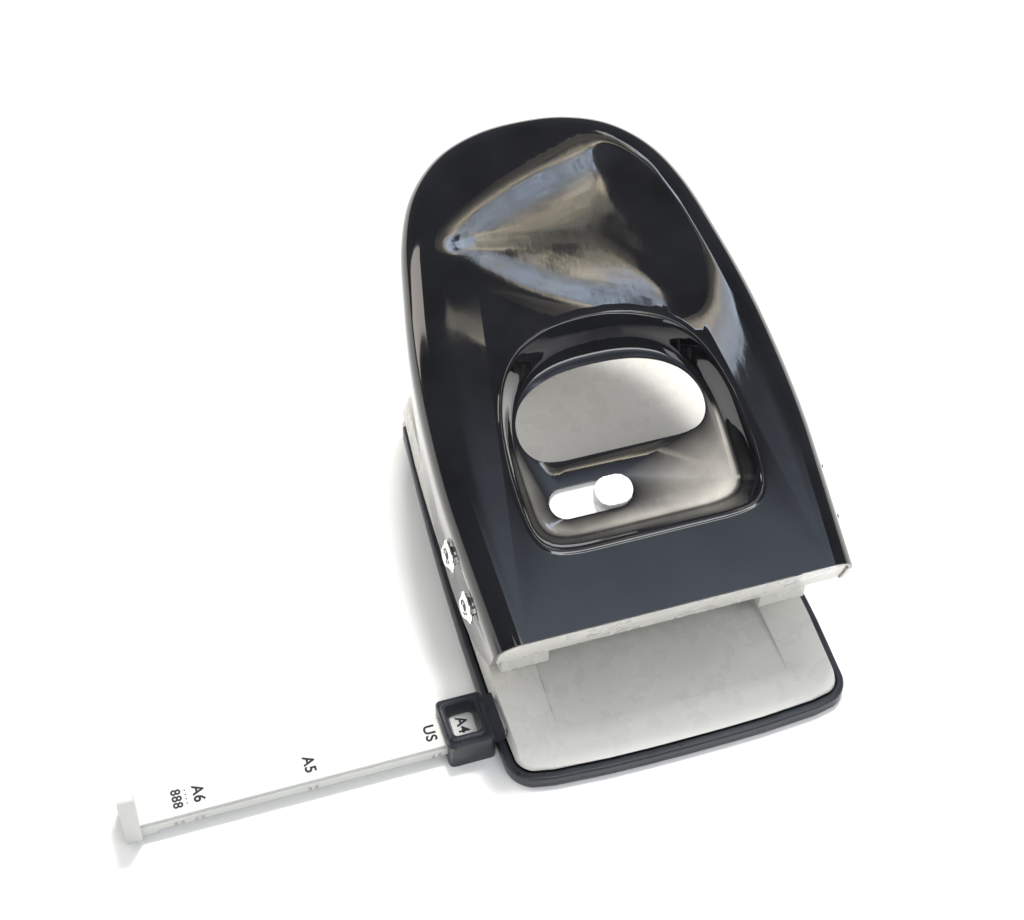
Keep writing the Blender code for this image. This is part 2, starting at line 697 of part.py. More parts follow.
def make_punch(side, sign):
    """Guide bush, hardened pin with a hollow-ground tip, its clip and its return spring."""
    centre = (sign * PIN_X, PIN_Y, 0)
    bush_bottom = HOUSING_BOTTOM + 0.2 * MM
    flange = GUIDE_TOP + CLEARANCE
    bore = PIN_RADIUS + CLEARANCE
    bush = lathe(
        f"guide_bush_{side}",
        [(bore, flange + 1 * MM), (BUSH_RADIUS + 1.2 * MM, flange + 1 * MM),
         (BUSH_RADIUS + 1.2 * MM, flange), (BUSH_RADIUS, flange), (BUSH_RADIUS, bush_bottom),
         (bore, bush_bottom)],
        centre, "zinc_steel", 24,
    )
    smooth(bush)
    holder = empty(f"punch_slide_{side}", (sign * PIN_X, PIN_Y, PIN_REST_TIP))
    length = PIN_TOP - PIN_REST_TIP
    pin = lathe(
        f"punch_pin_{side}",
        [(0, length), (PIN_RADIUS - 0.4 * MM, length), (PIN_RADIUS, length - 0.4 * MM),
         (PIN_RADIUS, 0), (0, 1.0 * MM)],
        (0, 0, 0), "bright_nickel", 24, holder,
    )
    smooth(pin)
    clip_top = HOUSING_TOP - HOUSING_WALL - 0.9 * MM - PIN_REST_TIP
    clip = lathe(
        f"spring_clip_{side}",
        [(bore, clip_top), (SPRING_RADIUS + 0.6 * MM, clip_top),
         (SPRING_RADIUS + 0.6 * MM, clip_top - 1 * MM), (bore, clip_top - 1 * MM)],
        (0, 0, 0), "spring_steel", 20, holder,
    )
    smooth(clip)
    low = flange + 1 * MM + SPRING_WIRE + CLEARANCE
    high = PIN_REST_TIP + clip_top - 1 * MM - SPRING_WIRE - CLEARANCE
    make_spring(f"return_spring_{side}", centre, low, high)


def make_spring(name, centre, low, high):
    per_turn = 12
    count = SPRING_TURNS * per_turn
    curve = bpy.data.curves.new(name, "CURVE")
    curve.dimensions = "3D"
    curve.bevel_depth = SPRING_WIRE
    curve.bevel_resolution = 1
    curve.use_fill_caps = True
    spline = curve.splines.new("POLY")
    spline.points.add(count)
    for i, point in enumerate(spline.points):
        angle = 2 * math.pi * i / per_turn
        z = low + (high - low) * i / count
        point.co = (SPRING_RADIUS * math.cos(angle), SPRING_RADIUS * math.sin(angle), z, 1)
    curve.materials.append(material("spring_steel"))
    spring = bpy.data.objects.new(name, curve)
    spring.location = centre
    PARTS.objects.link(spring)
    return spring


def make_lock_catch():
    """Steel hook behind the stop wall. The slider's foot goes under its lip."""
    wall = STOP_WALL_Y + STEEL + CLEARANCE
    lip = CATCH_TOP
    profile = [
        (wall, DECK_PLATE_TOP + CLEARANCE), (wall + STEEL, DECK_PLATE_TOP + CLEARANCE),
        (wall + STEEL, lip), (wall - 4.5 * MM, lip), (wall - 4.5 * MM, lip - STEEL),
        (wall, lip - STEEL),
    ]
    add_object("lock_catch", prism(profile, -24 * MM, -17 * MM, "X"), "zinc_steel")


# ---------------------------------------------------------------- format bar


def make_guide_head():
    right = -BASE_HALF_WIDTH - 0.35 * MM
    left = right - HEAD_LENGTH
    y0, y1 = BAR_Y - HEAD_WIDTH / 2, BAR_Y + HEAD_WIDTH / 2
    outline = rounded_box((left, y0), (right, y1), 1.5 * MM, 3)
    head = add_object("guide_head", prism(outline, 0, HEAD_TOP), "black_plastic")
    channel = add_object(
        "head_channel",
        box((left - 5 * MM, BAR_Y - BAR_WIDTH / 2 - CLEARANCE, BAR_BOTTOM - CLEARANCE),
            (right + 5 * MM, BAR_Y + BAR_WIDTH / 2 + CLEARANCE, BAR_TOP + CLEARANCE)),
    )
    middle = (left + right) / 2 - 0.6 * MM
    lower = rounded_box((middle - 3.4 * MM, BAR_Y - 3.6 * MM), (middle + 3.4 * MM, BAR_Y + 3.6 * MM),
                        1.2 * MM, 3)
    upper = rounded_box((middle - 4.6 * MM, BAR_Y - 4.9 * MM), (middle + 4.6 * MM, BAR_Y + 4.9 * MM),
                        1.8 * MM, 3)
    window = add_object("head_window", loft(lower, upper, BAR_TOP - 1 * MM, HEAD_TOP + 1 * MM))
    spring_pocket = add_object(
        "detent_pocket",
        box((left + 2 * MM, BAR_Y - BAR_WIDTH / 2 - 1.8 * MM, BAR_BOTTOM - CLEARANCE),
            (right - 2 * MM, BAR_Y - BAR_WIDTH / 2, BAR_TOP - 0.8 * MM)),
    )
    for cutter in (channel, window, spring_pocket):
        combine(head, cutter)
    leaf = box((left + 2.4 * MM, BAR_Y - BAR_WIDTH / 2 - 1.4 * MM, BAR_BOTTOM + 0.3 * MM),
               (right - 2.4 * MM, BAR_Y - BAR_WIDTH / 2 - 1.0 * MM, BAR_TOP - 1.4 * MM))
    add_object("bar_detent", leaf, "spring_steel")


def make_format_bar():
    holder = empty("format_slide", (STOP_X, BAR_Y, BAR_BOTTOM))
    half = BAR_WIDTH / 2
    bar = add_object(
        "format_bar",
        box((-STOP_THICKNESS * 0.5, -half, 0), (BAR_INNER_END - STOP_X, half, BAR_THICKNESS)),
        "white_plastic", holder,
    )
    stop_outline = rounded_box(
        (-STOP_WIDTH / 2, 0.5 * MM - BAR_BOTTOM), (STOP_WIDTH / 2, STOP_HEIGHT - BAR_BOTTOM),
        1.2 * MM, 3,
    )
    stop = add_object(
        "sheet_stop", prism(stop_outline, -STOP_THICKNESS, 0, "X"), parent=holder
    )
    combine(bar, stop, "UNION")
    for x in DETENT_NOTCHES:
        notch = add_object(
            "detent_notch",
            box((x - 0.9 * MM, -half - 1 * MM, -1 * MM),
                (x + 0.9 * MM, -half + 0.7 * MM, BAR_THICKNESS * 0.45)),
            parent=holder,
        )
        combine(bar, notch)
    return bar


# ---------------------------------------------------------------- handle


def handle_half_outline():
    """(half width, distance from the front edge), from the front corner to the palm end."""
    length = HANDLE_LENGTH
    w0, w1, w2 = HANDLE_FRONT_HALF, HANDLE_WIDEST_HALF, HANDLE_NECK_HALF
    points = [
        (w0, 0), ((w0 + 2 * w1) / 3, length * 0.16), (w1, length * 0.32),
        ((w1 + w2) / 2 + 0.9 * MM, length * 0.52), (w2, length * 0.68),
        (w2 * 0.905, length * 0.81), (w2 * 0.735, length * 0.912), (w2 * 0.43, length * 0.979),
        (0, length),
    ]
    return smooth_path(points, 4)


def handle_half_width(s):
    path = handle_half_outline()
    for (xa, sa), (xb, sb) in zip(path, path[1:]):
        if sa <= s <= sb:
            return xa + (xb - xa) * (s - sa) / (sb - sa)
    return path[-1][0]


def local(s):
    """Distance from the handle's front edge, as a local Y measured from its pivot."""
    return s - PIVOT_FROM_FRONT


def handle_block(distance, top, radius, front_extra):
    """Solid block with the handle's outline, rounded along its upper side edges."""
    half = handle_half_outline()
    left = [(-x, s) for x, s in half]
    right = [(x, s) for x, s in reversed(half[:-1])]
    outline = [(x, local(s)) for x, s in left + right]
    outline = inset(list(reversed(outline)), distance)
    front = local(0) - front_extra
    outline = [(x, front if y < local(0) + 3 * MM else y) for x, y in outline]
    bm = prism(outline, -0.05, top)
    rim_edges = []
    for edge in bm.edges:
        a, b = edge.verts
        on_top = abs(a.co.z - top) < 1e-6 and abs(b.co.z - top) < 1e-6
        on_front = abs(a.co.y - front) < 1e-6 and abs(b.co.y - front) < 1e-6
        if on_top and not on_front:
            rim_edges.append(edge)
    bmesh.ops.bevel(
        bm, geom=rim_edges, offset=radius, offset_type="OFFSET", segments=4, profile=0.5,
        affect="EDGES", clamp_overlap=True, material=-1,
    )
    return bm


def recess_outline(distance=0.0):
    """Outline of the recess in the handle's upper face: square front, arched rear."""
    w = RECESS_HALF_WIDTH
    start, end = local(RECESS_START), local(RECESS_END)
    half = [(0, start), (w - 9 * MM, start)]
    half += arc((w - 8 * MM, start + 8 * MM), 8 * MM, -78, 0, 4)
    half.append((w, start + 16 * MM))
    reach = end - start - 24 * MM
    for step in range(1, 9):
        angle = math.pi / 2 * step / 8
        half.append((w * math.cos(angle) ** 0.85, start + 24 * MM + reach * math.sin(angle) ** 1.1))
    half[-1] = (0, end)
    return inset(mirrored(half), distance)


def window_outline():
    """D-shaped finger window: straight front side, arched rear."""
    w = WINDOW_HALF_WIDTH
    start, end = local(WINDOW_START), local(WINDOW_END)
    half = [(0, start), (w - 6 * MM, start)]
    half += arc((w - 5.5 * MM, start + 5.5 * MM), 5.5 * MM, -75, 0, 4)
    reach = end - start - 8 * MM
    for step in range(1, 7):
        angle = math.pi / 2 * step / 6
        half.append((w * math.cos(angle) ** 0.85, start + 8 * MM + reach * math.sin(angle)))
    half[-1] = (0, end)
    return mirrored(half)


def skirt_profile():
    """(local y, local z) of the skirt's lower edge, from the front to the palm end."""
    top = AXLE_DEPTH
    deep = SKIRT_DEPTH
    points = [
        (local(-1 * MM), top - SKIRT_FRONT_DEPTH), (local(4 * MM), top - deep * 0.66),
        (local(10 * MM), top - deep * 0.87), (local(20 * MM), top - deep),
        (local(32 * MM), top - deep * 0.97), (local(46 * MM), top - deep * 0.86),
        (local(60 * MM), top - deep * 0.66), (local(80 * MM), top - deep * 0.47),
        (local(108 * MM), top - SKIRT_PALM_DEPTH - 0.6 * MM),
        (local(HANDLE_LENGTH + 3 * MM), top - SKIRT_PALM_DEPTH),
    ]
    return smooth_path(points, 3)


def make_handle_shell(pivot):
    top = AXLE_DEPTH
    shell = add_object("handle_shell", handle_block(0, top, SHOULDER, 0), "black_enamel", pivot)
    inside = add_object(
        "handle_inside",
        handle_block(HANDLE_WALL, top - HANDLE_WALL, SHOULDER - HANDLE_WALL, 5 * MM),
        parent=pivot,
    )
    combine(shell, inside)
    edge = skirt_profile()
    below = edge + [(local(HANDLE_LENGTH + 3 * MM), -0.08), (local(-1 * MM), -0.08)]
    trim = add_object("skirt_trim", prism(below, -0.08, 0.08, "X"), parent=pivot)
    combine(shell, trim)
    lower = top - RECESS_DEPTH - HANDLE_WALL
    pan_outline = recess_outline(-HANDLE_WALL)
    pan = add_object(
        "recess_pan",
        loft(recess_outline(RECESS_DRAFT - HANDLE_WALL), pan_outline, lower, top - 0.5 * MM),
        parent=pivot,
    )
    combine(shell, pan, "UNION")
    hollow = add_object(
        "recess_hollow",
        loft(recess_outline(RECESS_DRAFT), recess_outline(-0.15 * MM), top - RECESS_DEPTH,
             top + 0.3 * MM),
        parent=pivot,
    )
    combine(shell, hollow)
    window = add_object("finger_window", prism(window_outline(), lower - 0.01, top - 2 * MM),
                        parent=pivot)
    combine(shell, window)
    r = SLOT_WIDTH / 2
    middle = local(SLOT_MIDDLE)
    slot = arc((SLOT_RIGHT - r, middle), r, -90, 90, 8) + arc((SLOT_LEFT + r, middle), r, 90, 270, 8)
    slider_slot = add_object("slider_slot", prism(slot, lower - 0.005, top - 2 * MM), parent=pivot)
    combine(shell, slider_slot)
    for name, y in (("front", 0.0), ("drive", AXLE_SPACING)):
        hole = add_object(
            f"{name}_axle_hole",
            cylinder((-0.07, y, 0), (0.07, y, 0), AXLE_RADIUS + CLEARANCE, 20), parent=pivot,
        )
        combine(shell, hole)
    return shell


def make_fascia(pivot):
    """Grey liner inside the handle's front opening."""
    top = AXLE_DEPTH - HANDLE_WALL - CLEARANCE
    low = AXLE_DEPTH - HANDLE_WALL - FASCIA_HEIGHT
    w = HANDLE_FRONT_HALF - HANDLE_WALL - CLEARANCE - 0.05 * MM
    r = SHOULDER - HANDLE_WALL
    outline = [(-w, low), (w, low)]
    outline += arc((w - r, top - r), r, 0, 90, 4)
    outline += arc((-w + r, top - r), r, 90, 180, 4)
    front = local(0) + 0.4 * MM
    fascia = add_object(
        "handle_fascia", prism(outline, front, front + FASCIA_THICKNESS, "Y"), "grey_plastic", pivot
    )
    hollow = rounded_box((-w + 2 * MM, low + 1.5 * MM), (w - 2 * MM, top - 1.5 * MM), 5 * MM, 3)
    cutter = add_object(
        "fascia_back", prism(hollow, front + 1.5 * MM, front + FASCIA_THICKNESS + 1 * MM, "Y"),
        parent=pivot,
    )
    combine(fascia, cutter)
    return fascia


def make_axles(pivot):
    for name, y, from_front in (
        ("front", 0.0, PIVOT_FROM_FRONT),
        ("drive", AXLE_SPACING, PIVOT_FROM_FRONT + AXLE_SPACING),
    ):
        skirt = handle_half_width(from_front + CAP_RADIUS)
        reach = skirt + 1.4 * MM
        axle = add_object(
            f"{name}_axle", cylinder((-reach, y, 0), (reach, y, 0), AXLE_RADIUS, 20),
            "bright_nickel", pivot,
        )
        smooth(axle)
        for side, sign in SIDES:
            inner = skirt + CLEARANCE
            cap_bm = cylinder(
                (sign * inner, y, 0), (sign * (inner + 1.0 * MM), y, 0), CAP_RADIUS, 20
            )
            cap = add_object(f"{name}_cap_{side}", cap_bm, "bright_nickel", pivot)
            dome = add_object(
                f"{name}_dome_{side}",
                cylinder((sign * (inner + 0.9 * MM), y, 0), (sign * (inner + 2.3 * MM), y, 0),
                         CAP_RADIUS - 0.9 * MM, 20, CAP_RADIUS - 2.2 * MM),
                parent=pivot,
            )
            bore = add_object(
                f"{name}_cap_bore_{side}",
                cylinder((sign * (inner - 1 * MM), y, 0), (sign * (inner + 1.4 * MM), y, 0),
                         AXLE_RADIUS + CLEARANCE, 20),
                parent=pivot,
            )
            combine(cap, dome, "UNION")
            combine(cap, bore)


def make_slider(pivot):
    """Ribbed knob on a plate under the shelf, with a foot that reaches for the catch."""
    shelf = AXLE_DEPTH - RECESS_DEPTH
    under = shelf - HANDLE_WALL - CLEARANCE
    r = SLOT_WIDTH / 2 - CLEARANCE
    y = local(SLOT_MIDDLE)
    right = SLOT_RIGHT - CLEARANCE
    left = right - KNOB_LENGTH
    holder = empty("slider_origin", ((left + right) / 2, y, under))
    holder.parent = pivot
    shift_x = -(left + right) / 2
    plate_left = left - KNOB_LENGTH - 3.5 * MM
    plate_right = right + LOCK_TRAVEL + 1 * MM
    plate = add_object(
        "lock_slider",
        box((plate_left + shift_x, -r - 1.2 * MM, -SLIDER_PLATE), (plate_right + shift_x, r + 1.2 * MM, 0)),
        "knob_plastic", holder,
    )
    rise = HANDLE_WALL + CLEARANCE + KNOB_RISE
    knob_outline = rounded_box((left + shift_x, -r), (right + shift_x, r), r - 0.05 * MM, 4)
    knob = add_object("knob_block", prism(knob_outline, -0.5 * MM, rise), parent=holder)
    combine(plate, knob, "UNION")
    for i in range(4):
        x = left + shift_x + KNOB_LENGTH * (0.2 + 0.2 * i)
        groove = add_object(
            "knob_groove",
            cylinder((x, -0.01, rise + 0.35 * MM), (x, 0.01, rise + 0.35 * MM), 0.85 * MM, 10),
            parent=holder,
        )
        combine(plate, groove)
    foot_y = local(SLIDER_FOOT) - y
    leg_x = -2.0 * MM + shift_x
    leg = add_object(
        "slider_leg",
        box((leg_x - 2 * MM, foot_y - 1 * MM, -under + FOOT_LOW),
            (leg_x + 2 * MM, foot_y + 1 * MM, -0.4 * MM)),
        parent=holder,
    )
    arm = add_object(
        "slider_arm",
        box((leg_x - 1 * MM, r, -SLIDER_PLATE), (leg_x + 2 * MM, foot_y + 1 * MM, -0.2 * MM)),
        parent=holder,
    )
    foot = add_object(
        "slider_foot",
        box((leg_x - 8 * MM, foot_y - 1 * MM, -under + FOOT_LOW),
            (leg_x, foot_y + 1 * MM, -under + FOOT_LOW + 1.4 * MM)),
        parent=holder,
    )
    for piece in (leg, arm, foot):
        combine(plate, piece, "UNION")


# ---------------------------------------------------------------- places shared by several pieces

CHASSIS_HALF = 44 * MM
CHASSIS_FRONT = -30.7 * MM
CHASSIS_REAR = 7.5 * MM
GUIDE_FRONT = -31 * MM
CATCH_TOP = 33.8 * MM
SLIDER_FOOT = 44.3 * MM
FOOT_LOW = -6.8 * MM
SCREW_PLACES = [(-20 * MM, -60 * MM), (20 * MM, -60 * MM), (-34 * MM, 3.5 * MM), (34 * MM, 3.5 * MM)]
BOSS_TOP = 7.2 * MM
SCREW_END = 6.2 * MM
CHASSIS_SCREWS = [(-24 * MM, 2 * MM), (24 * MM, 2 * MM)]
PAD_RADIUS = 5 * MM
PAD_HEIGHT = 0.7 * MM
PAD_PLACES = [
    ("front_left", -39 * MM, -59 * MM), ("front_right", 39 * MM, -59 * MM),
    ("middle_left", -30 * MM, -10 * MM), ("middle_right", 30 * MM, -10 * MM),
]
DETENT_NOTCHES = [10 * MM, 15.6 * MM, 46.6 * MM, 81.3 * MM]


def pad_recesses(rim):
    for name, x, y in PAD_PLACES:
        recess = add_object(
            f"pad_recess_{name}",
            cylinder((x, y, -0.01), (x, y, PAD_HEIGHT + CLEARANCE), PAD_RADIUS + CLEARANCE, 20),
        )
        combine(rim, recess)


def main():
    rim = make_base_rim()
    pad_recesses(rim)
    make_base_body()
    make_base_screws()
    make_hatch()
    make_pads()
    make_chassis()
    for side, sign in SIDES:
        make_housing(side, sign)
        make_punch(side, sign)
    make_lock_catch()
    make_guide_head()
    make_format_bar()
    pivot = empty("handle_pivot", (0, PIVOT_Y, PIVOT_Z), REST_TILT)
    make_handle_shell(pivot)
    make_fascia(pivot)
    make_axles(pivot)
    make_slider(pivot)


clear_scene()
PARTS = new_collection("hole_punch")
CUTTERS = new_collection("cutters")
main()
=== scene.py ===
"""Looks for the two-hole punch: skins, finishes, printed marks and the studio round it."""

import math

import bmesh
import bpy
import numpy as np
from bpy.props import FloatProperty, FloatVectorProperty, IntProperty, PointerProperty
from mathutils import Matrix, Vector


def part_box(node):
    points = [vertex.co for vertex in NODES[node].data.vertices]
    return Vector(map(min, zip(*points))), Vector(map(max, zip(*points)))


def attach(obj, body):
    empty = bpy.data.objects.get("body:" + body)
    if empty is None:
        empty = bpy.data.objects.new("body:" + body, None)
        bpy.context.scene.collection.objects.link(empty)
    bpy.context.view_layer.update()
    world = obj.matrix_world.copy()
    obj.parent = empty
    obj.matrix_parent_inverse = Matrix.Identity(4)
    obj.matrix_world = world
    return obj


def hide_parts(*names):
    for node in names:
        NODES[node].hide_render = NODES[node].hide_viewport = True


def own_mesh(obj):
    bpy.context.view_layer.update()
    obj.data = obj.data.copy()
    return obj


bl_info = {
    "name": "Desk Hole Punch",
    "version": (1, 0, 0),
    "blender": (4, 5, 0),
    "location": "View3D > Sidebar > Hole Punch",
    "description": "Builds the finished surfaces of a two-hole desk punch",
    "category": "Object",
}

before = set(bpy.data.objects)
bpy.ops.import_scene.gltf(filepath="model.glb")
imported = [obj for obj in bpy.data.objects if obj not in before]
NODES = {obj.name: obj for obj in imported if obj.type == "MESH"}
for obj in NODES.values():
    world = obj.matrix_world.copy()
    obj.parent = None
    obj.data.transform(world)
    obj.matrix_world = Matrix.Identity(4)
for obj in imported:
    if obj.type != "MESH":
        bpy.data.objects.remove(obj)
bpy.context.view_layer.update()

MM = 0.001
HANDLE_PIVOT = Vector((0, -0.0349, 0.0407))
HANDLE_TILT = math.radians(18.33)
HANDLE = Matrix.Translation(HANDLE_PIVOT) @ Matrix.Rotation(HANDLE_TILT, 4, "X")
PIVOT_FROM_FRONT = 17.0
# from the handle's front edge, in mm, where HANDLE starts at the pivot
LOCAL_MM = HANDLE @ Matrix.Translation((0, -PIVOT_FROM_FRONT * MM, 0))
TOP = 14.5  # the handle's upper face above its pivot, in mm
SHEET = 1.2  # the handle's sheet steel, in mm
SHOULDER = 8.0  # rounding between the handle's upper face and its skirts, in mm
RECESS = 7.7  # the recess floor below the upper face, in mm
AXLES = (("front", 0.0), ("drive", 15.0))  # behind the pivot, in mm
SIDES = (("left", -1), ("right", 1))
SCREWS = [(-20, -60), (20, -60), (-34, 3.5), (34, 3.5)]
PADS = [(-39, -59), (39, -59), (-30, -10), (30, -10)]

EYE = Vector((-0.1373, -0.3176, 0.4690))
VIEW_RIGHT = Vector((0.9539, -0.2996, 0.0189))
VIEW_UP = Vector((0.2218, 0.7460, 0.6280))
LENS = 68.38
ROOM = (0.150, 0.156, 0.165)  # colour of the room that surrounds the stage
DISH_CARD_HEIGHT = 1.09
FRONT_CARD_HEIGHT = 1.13


# ---------------------------------------------------------------- settings


class PunchSizes(bpy.types.PropertyGroup):
    """Sizes of the visible detail."""

    dish_depth: FloatProperty(
        name="Palm dish depth", description="How far the palm end of the handle is pressed in",
        default=3.4 * MM, min=0, max=4 * MM, unit="LENGTH",
    )
    lip_bead: FloatProperty(
        name="Lip bead", description="Height of the bead pressed round the recess",
        default=0.35 * MM, min=0, max=1 * MM, unit="LENGTH",
    )
    edge_round: FloatProperty(
        name="Moulded edge", description="Rounding of the plastic pieces' outer edges",
        default=0.7 * MM, min=0.1 * MM, max=1.5 * MM, unit="LENGTH",
    )
    letter_height: FloatProperty(
        name="Letter height", description="Height of the sheet format letters on the bar",
        default=3.1 * MM, min=1 * MM, max=4 * MM, unit="LENGTH",
    )
    cap_teeth: IntProperty(
        name="Cap teeth", description="Crimped teeth in each push-on cap", default=6, min=4, max=10,
    )
    knob_ribs: IntProperty(
        name="Knob ribs", description="Ribs across the lock knob", default=5, min=3, max=8,
    )


class PunchColours(bpy.types.PropertyGroup):
    """Colours of the finishes, as linear values."""

    enamel: FloatVectorProperty(
        name="Enamel", description="Gloss enamel of the handle", subtype="COLOR",
        default=(0.0040, 0.0042, 0.0052), min=0, max=1,
    )
    # shelf colour: dust, with a painted sheen that stands in for the shelf's glossy reflection
    shelf: FloatVectorProperty(
        name="Shelf dust and painted sheen", description="Dust and a painted sheen on the enamel shelf in the recess",
        subtype="COLOR", default=(0.43, 0.41, 0.37), min=0, max=1,
    )
    body: FloatVectorProperty(
        name="Body plastic", description="Light grey moulding", subtype="COLOR",
        default=(0.66, 0.65, 0.615), min=0, max=1,
    )
    rim: FloatVectorProperty(
        name="Rim plastic", description="Anthracite moulding", subtype="COLOR",
        default=(0.016, 0.018, 0.023), min=0, max=1,
    )
    bar: FloatVectorProperty(
        name="Bar plastic", description="Off-white moulding", subtype="COLOR",
        default=(0.585, 0.59, 0.57), min=0, max=1,
    )
    ink: FloatVectorProperty(
        name="Ink", description="Printed sheet formats", subtype="COLOR",
        default=(0.010, 0.010, 0.012), min=0, max=1,
    )


def sizes():
    return bpy.context.scene.punch_sizes


def colours():
    return bpy.context.scene.punch_colours


# ---------------------------------------------------------------- finishes


def tinted(colour, factor):
    return tuple(min(1.0, c * factor) for c in colour)


class Finish:
    """A node material on object coordinates, built up one effect at a time."""

    def __init__(self, name, roughness=0.4, metallic=0.0):
        self.material = bpy.data.materials.new(name)
        self.material.use_nodes = True
        self.tree = self.material.node_tree
        self.shader = self.tree.nodes["Principled BSDF"]
        self.shader.inputs["Roughness"].default_value = roughness
        self.shader.inputs["Metallic"].default_value = metallic
        self.place = self.add("ShaderNodeTexCoord").outputs["Object"]
        self.normal = None

    def add(self, kind, **settings):
        node = self.tree.nodes.new(kind)
        for key, value in settings.items():
            setattr(node, key, value)
        return node

    def link(self, start, end):
        self.tree.links.new(start, end)

    def noise(self, scale, detail=4.0, stretch=(1, 1, 1), roughness=0.55):
        mapping = self.add("ShaderNodeMapping")
        mapping.inputs["Scale"].default_value = stretch
        self.link(self.place, mapping.inputs["Vector"])
        node = self.add("ShaderNodeTexNoise")
        node.inputs["Scale"].default_value = scale
        node.inputs["Detail"].default_value = detail
        node.inputs["Roughness"].default_value = roughness
        self.link(mapping.outputs["Vector"], node.inputs["Vector"])
        return node.outputs["Fac"]

    def spread(self, value, low, high, start=0.3, end=0.7):
        node = self.add("ShaderNodeMapRange")
        node.inputs["From Min"].default_value = start
        node.inputs["From Max"].default_value = end
        node.inputs["To Min"].default_value = low
        node.inputs["To Max"].default_value = high
        self.link(value, node.inputs["Value"])
        return node.outputs["Result"]

    def shade(self, colour, other, value):
        """Colour between two shades, driven by a value from 0 to 1."""
        mix = self.add("ShaderNodeMix", data_type="RGBA")
        mix.inputs[6].default_value = (*colour, 1)
        mix.inputs[7].default_value = (*other, 1)
        self.link(value, mix.inputs[0])
        return mix.outputs[2]

    def over(self, below, colour, value):
        mix = self.add("ShaderNodeMix", data_type="RGBA")
        self.link(below, mix.inputs[6])
        mix.inputs[7].default_value = (*colour, 1)
        self.link(value, mix.inputs[0])
        return mix.outputs[2]

    def paint(self, colour):
        self.link(colour, self.shader.inputs["Base Color"])

    def gloss(self, value):
        self.link(value, self.shader.inputs["Roughness"])

    def bump(self, height, distance, strength=1.0):
        node = self.add("ShaderNodeBump")
        node.inputs["Distance"].default_value = distance
        node.inputs["Strength"].default_value = strength
        self.link(height, node.inputs["Height"])
        if self.normal:
            self.link(self.normal, node.inputs["Normal"])
        self.normal = node.outputs["Normal"]
        self.link(self.normal, self.shader.inputs["Normal"])


def once(name, make):
    return bpy.data.materials.get(name) or make(name)


def enamel(name):
    """Gloss black enamel on pressed steel: slow waves, fine orange peel, and on the recess shelf dust
    with a painted sheen.
    """
    finish = Finish(name, roughness=0.07)
    base = colours().enamel
    shade = finish.shade(base, tinted(base, 2.2), finish.spread(finish.noise(60, 3), 0, 1))
    # The recess shelf is painted in the shelf colour through its vertex mask: dust there, plus a painted
    # sheen in place of the shelf's glossy reflection.
    sheen_and_dust_mask = finish.add("ShaderNodeAttribute", attribute_name="shelf_sheen_and_dust").outputs["Fac"]
    sheen_and_dust_share = finish.add("ShaderNodeMath", operation="MULTIPLY")
    finish.link(sheen_and_dust_mask, sheen_and_dust_share.inputs[0])
    finish.link(finish.spread(finish.noise(90, 5), 0.72, 1.0, 0.35, 0.65), sheen_and_dust_share.inputs[1])
    finish.paint(finish.over(shade, colours().shelf, sheen_and_dust_share.outputs[0]))
    smear = finish.spread(finish.noise(45, 5, (1, 2.2, 1)), 0.045, 0.10, 0.35, 0.7)
    rough = finish.add("ShaderNodeMath", operation="MULTIPLY_ADD")
    finish.link(sheen_and_dust_share.outputs[0], rough.inputs[0])
    rough.inputs[1].default_value = 0.20
    finish.link(smear, rough.inputs[2])
    finish.gloss(rough.outputs[0])
    finish.bump(finish.noise(70, 2, (1, 0.5, 1)), 0.05 * MM, 0.4)
    finish.bump(finish.noise(480, 2, (1, 0.4, 1)), 0.012 * MM, 0.7)
    finish.shader.inputs["Coat Weight"].default_value = 0.35
    finish.shader.inputs["Coat Roughness"].default_value = 0.03
    return finish.material


def moulded(name, colour, roughness, grain, mottling=0.93, speckle=0.0):
    """Injection-moulded plastic: spark-eroded grain and faint flow marks."""
    finish = Finish(name, roughness=roughness)
    flow = finish.spread(finish.noise(38, 4, (1, 0.5, 1)), 0, 1, 0.35, 0.65)
    shade = finish.shade(colour, tinted(colour, mottling), flow)
    if speckle:
        fine = finish.spread(finish.noise(2600, 2), 0, speckle, 0.5, 0.75)
        shade = finish.over(shade, tinted(colour, 1.25), fine)
    finish.paint(shade)
    finish.gloss(finish.spread(finish.noise(120, 4), roughness - 0.05, roughness + 0.08))
    finish.bump(finish.noise(3400, 3), grain)
    finish.bump(finish.noise(70, 2), 0.03 * MM, 0.5)
    return finish.material


def body_plastic(name):
    return moulded(name, colours().body, 0.27, 0.010 * MM, 0.955, 0.05)


def rim_plastic(name):
    return moulded(name, colours().rim, 0.30, 0.014 * MM, 1.7, 0.12)


def bar_plastic(name):
    return moulded(name, colours().bar, 0.34, 0.005 * MM, 0.965)


def knob_plastic(name):
    return moulded(name, tinted(colours().bar, 0.95), 0.36, 0.006 * MM, 0.95)


def ink(name):
    finish = Finish(name, roughness=0.5)
    patchy = finish.spread(finish.noise(1500, 3), 0, 1, 0.35, 0.7)
    finish.paint(finish.shade(colours().ink, tinted(colours().ink, 3.0), patchy))
    finish.bump(finish.noise(5000, 2), 0.003 * MM)
    return finish.material


def metal(name, colour, roughness, stretch, scale, bump_size, dull=0.82):
    """Bare or plated metal with drawn or brushed marks and slightly uneven plating."""
    finish = Finish(name, roughness=roughness, metallic=1.0)
    patches = finish.spread(finish.noise(210, 4), 0, 1, 0.35, 0.7)
    finish.paint(finish.shade(colour, tinted(colour, dull), patches))
    marks = finish.noise(scale, 4, stretch)
    finish.gloss(finish.spread(marks, roughness * 0.7, roughness * 1.45))
    finish.bump(marks, bump_size)
    return finish.material


def zinc(name):
    return metal(name, (0.62, 0.63, 0.63), 0.30, (1, 6, 1), 420, 0.012 * MM)


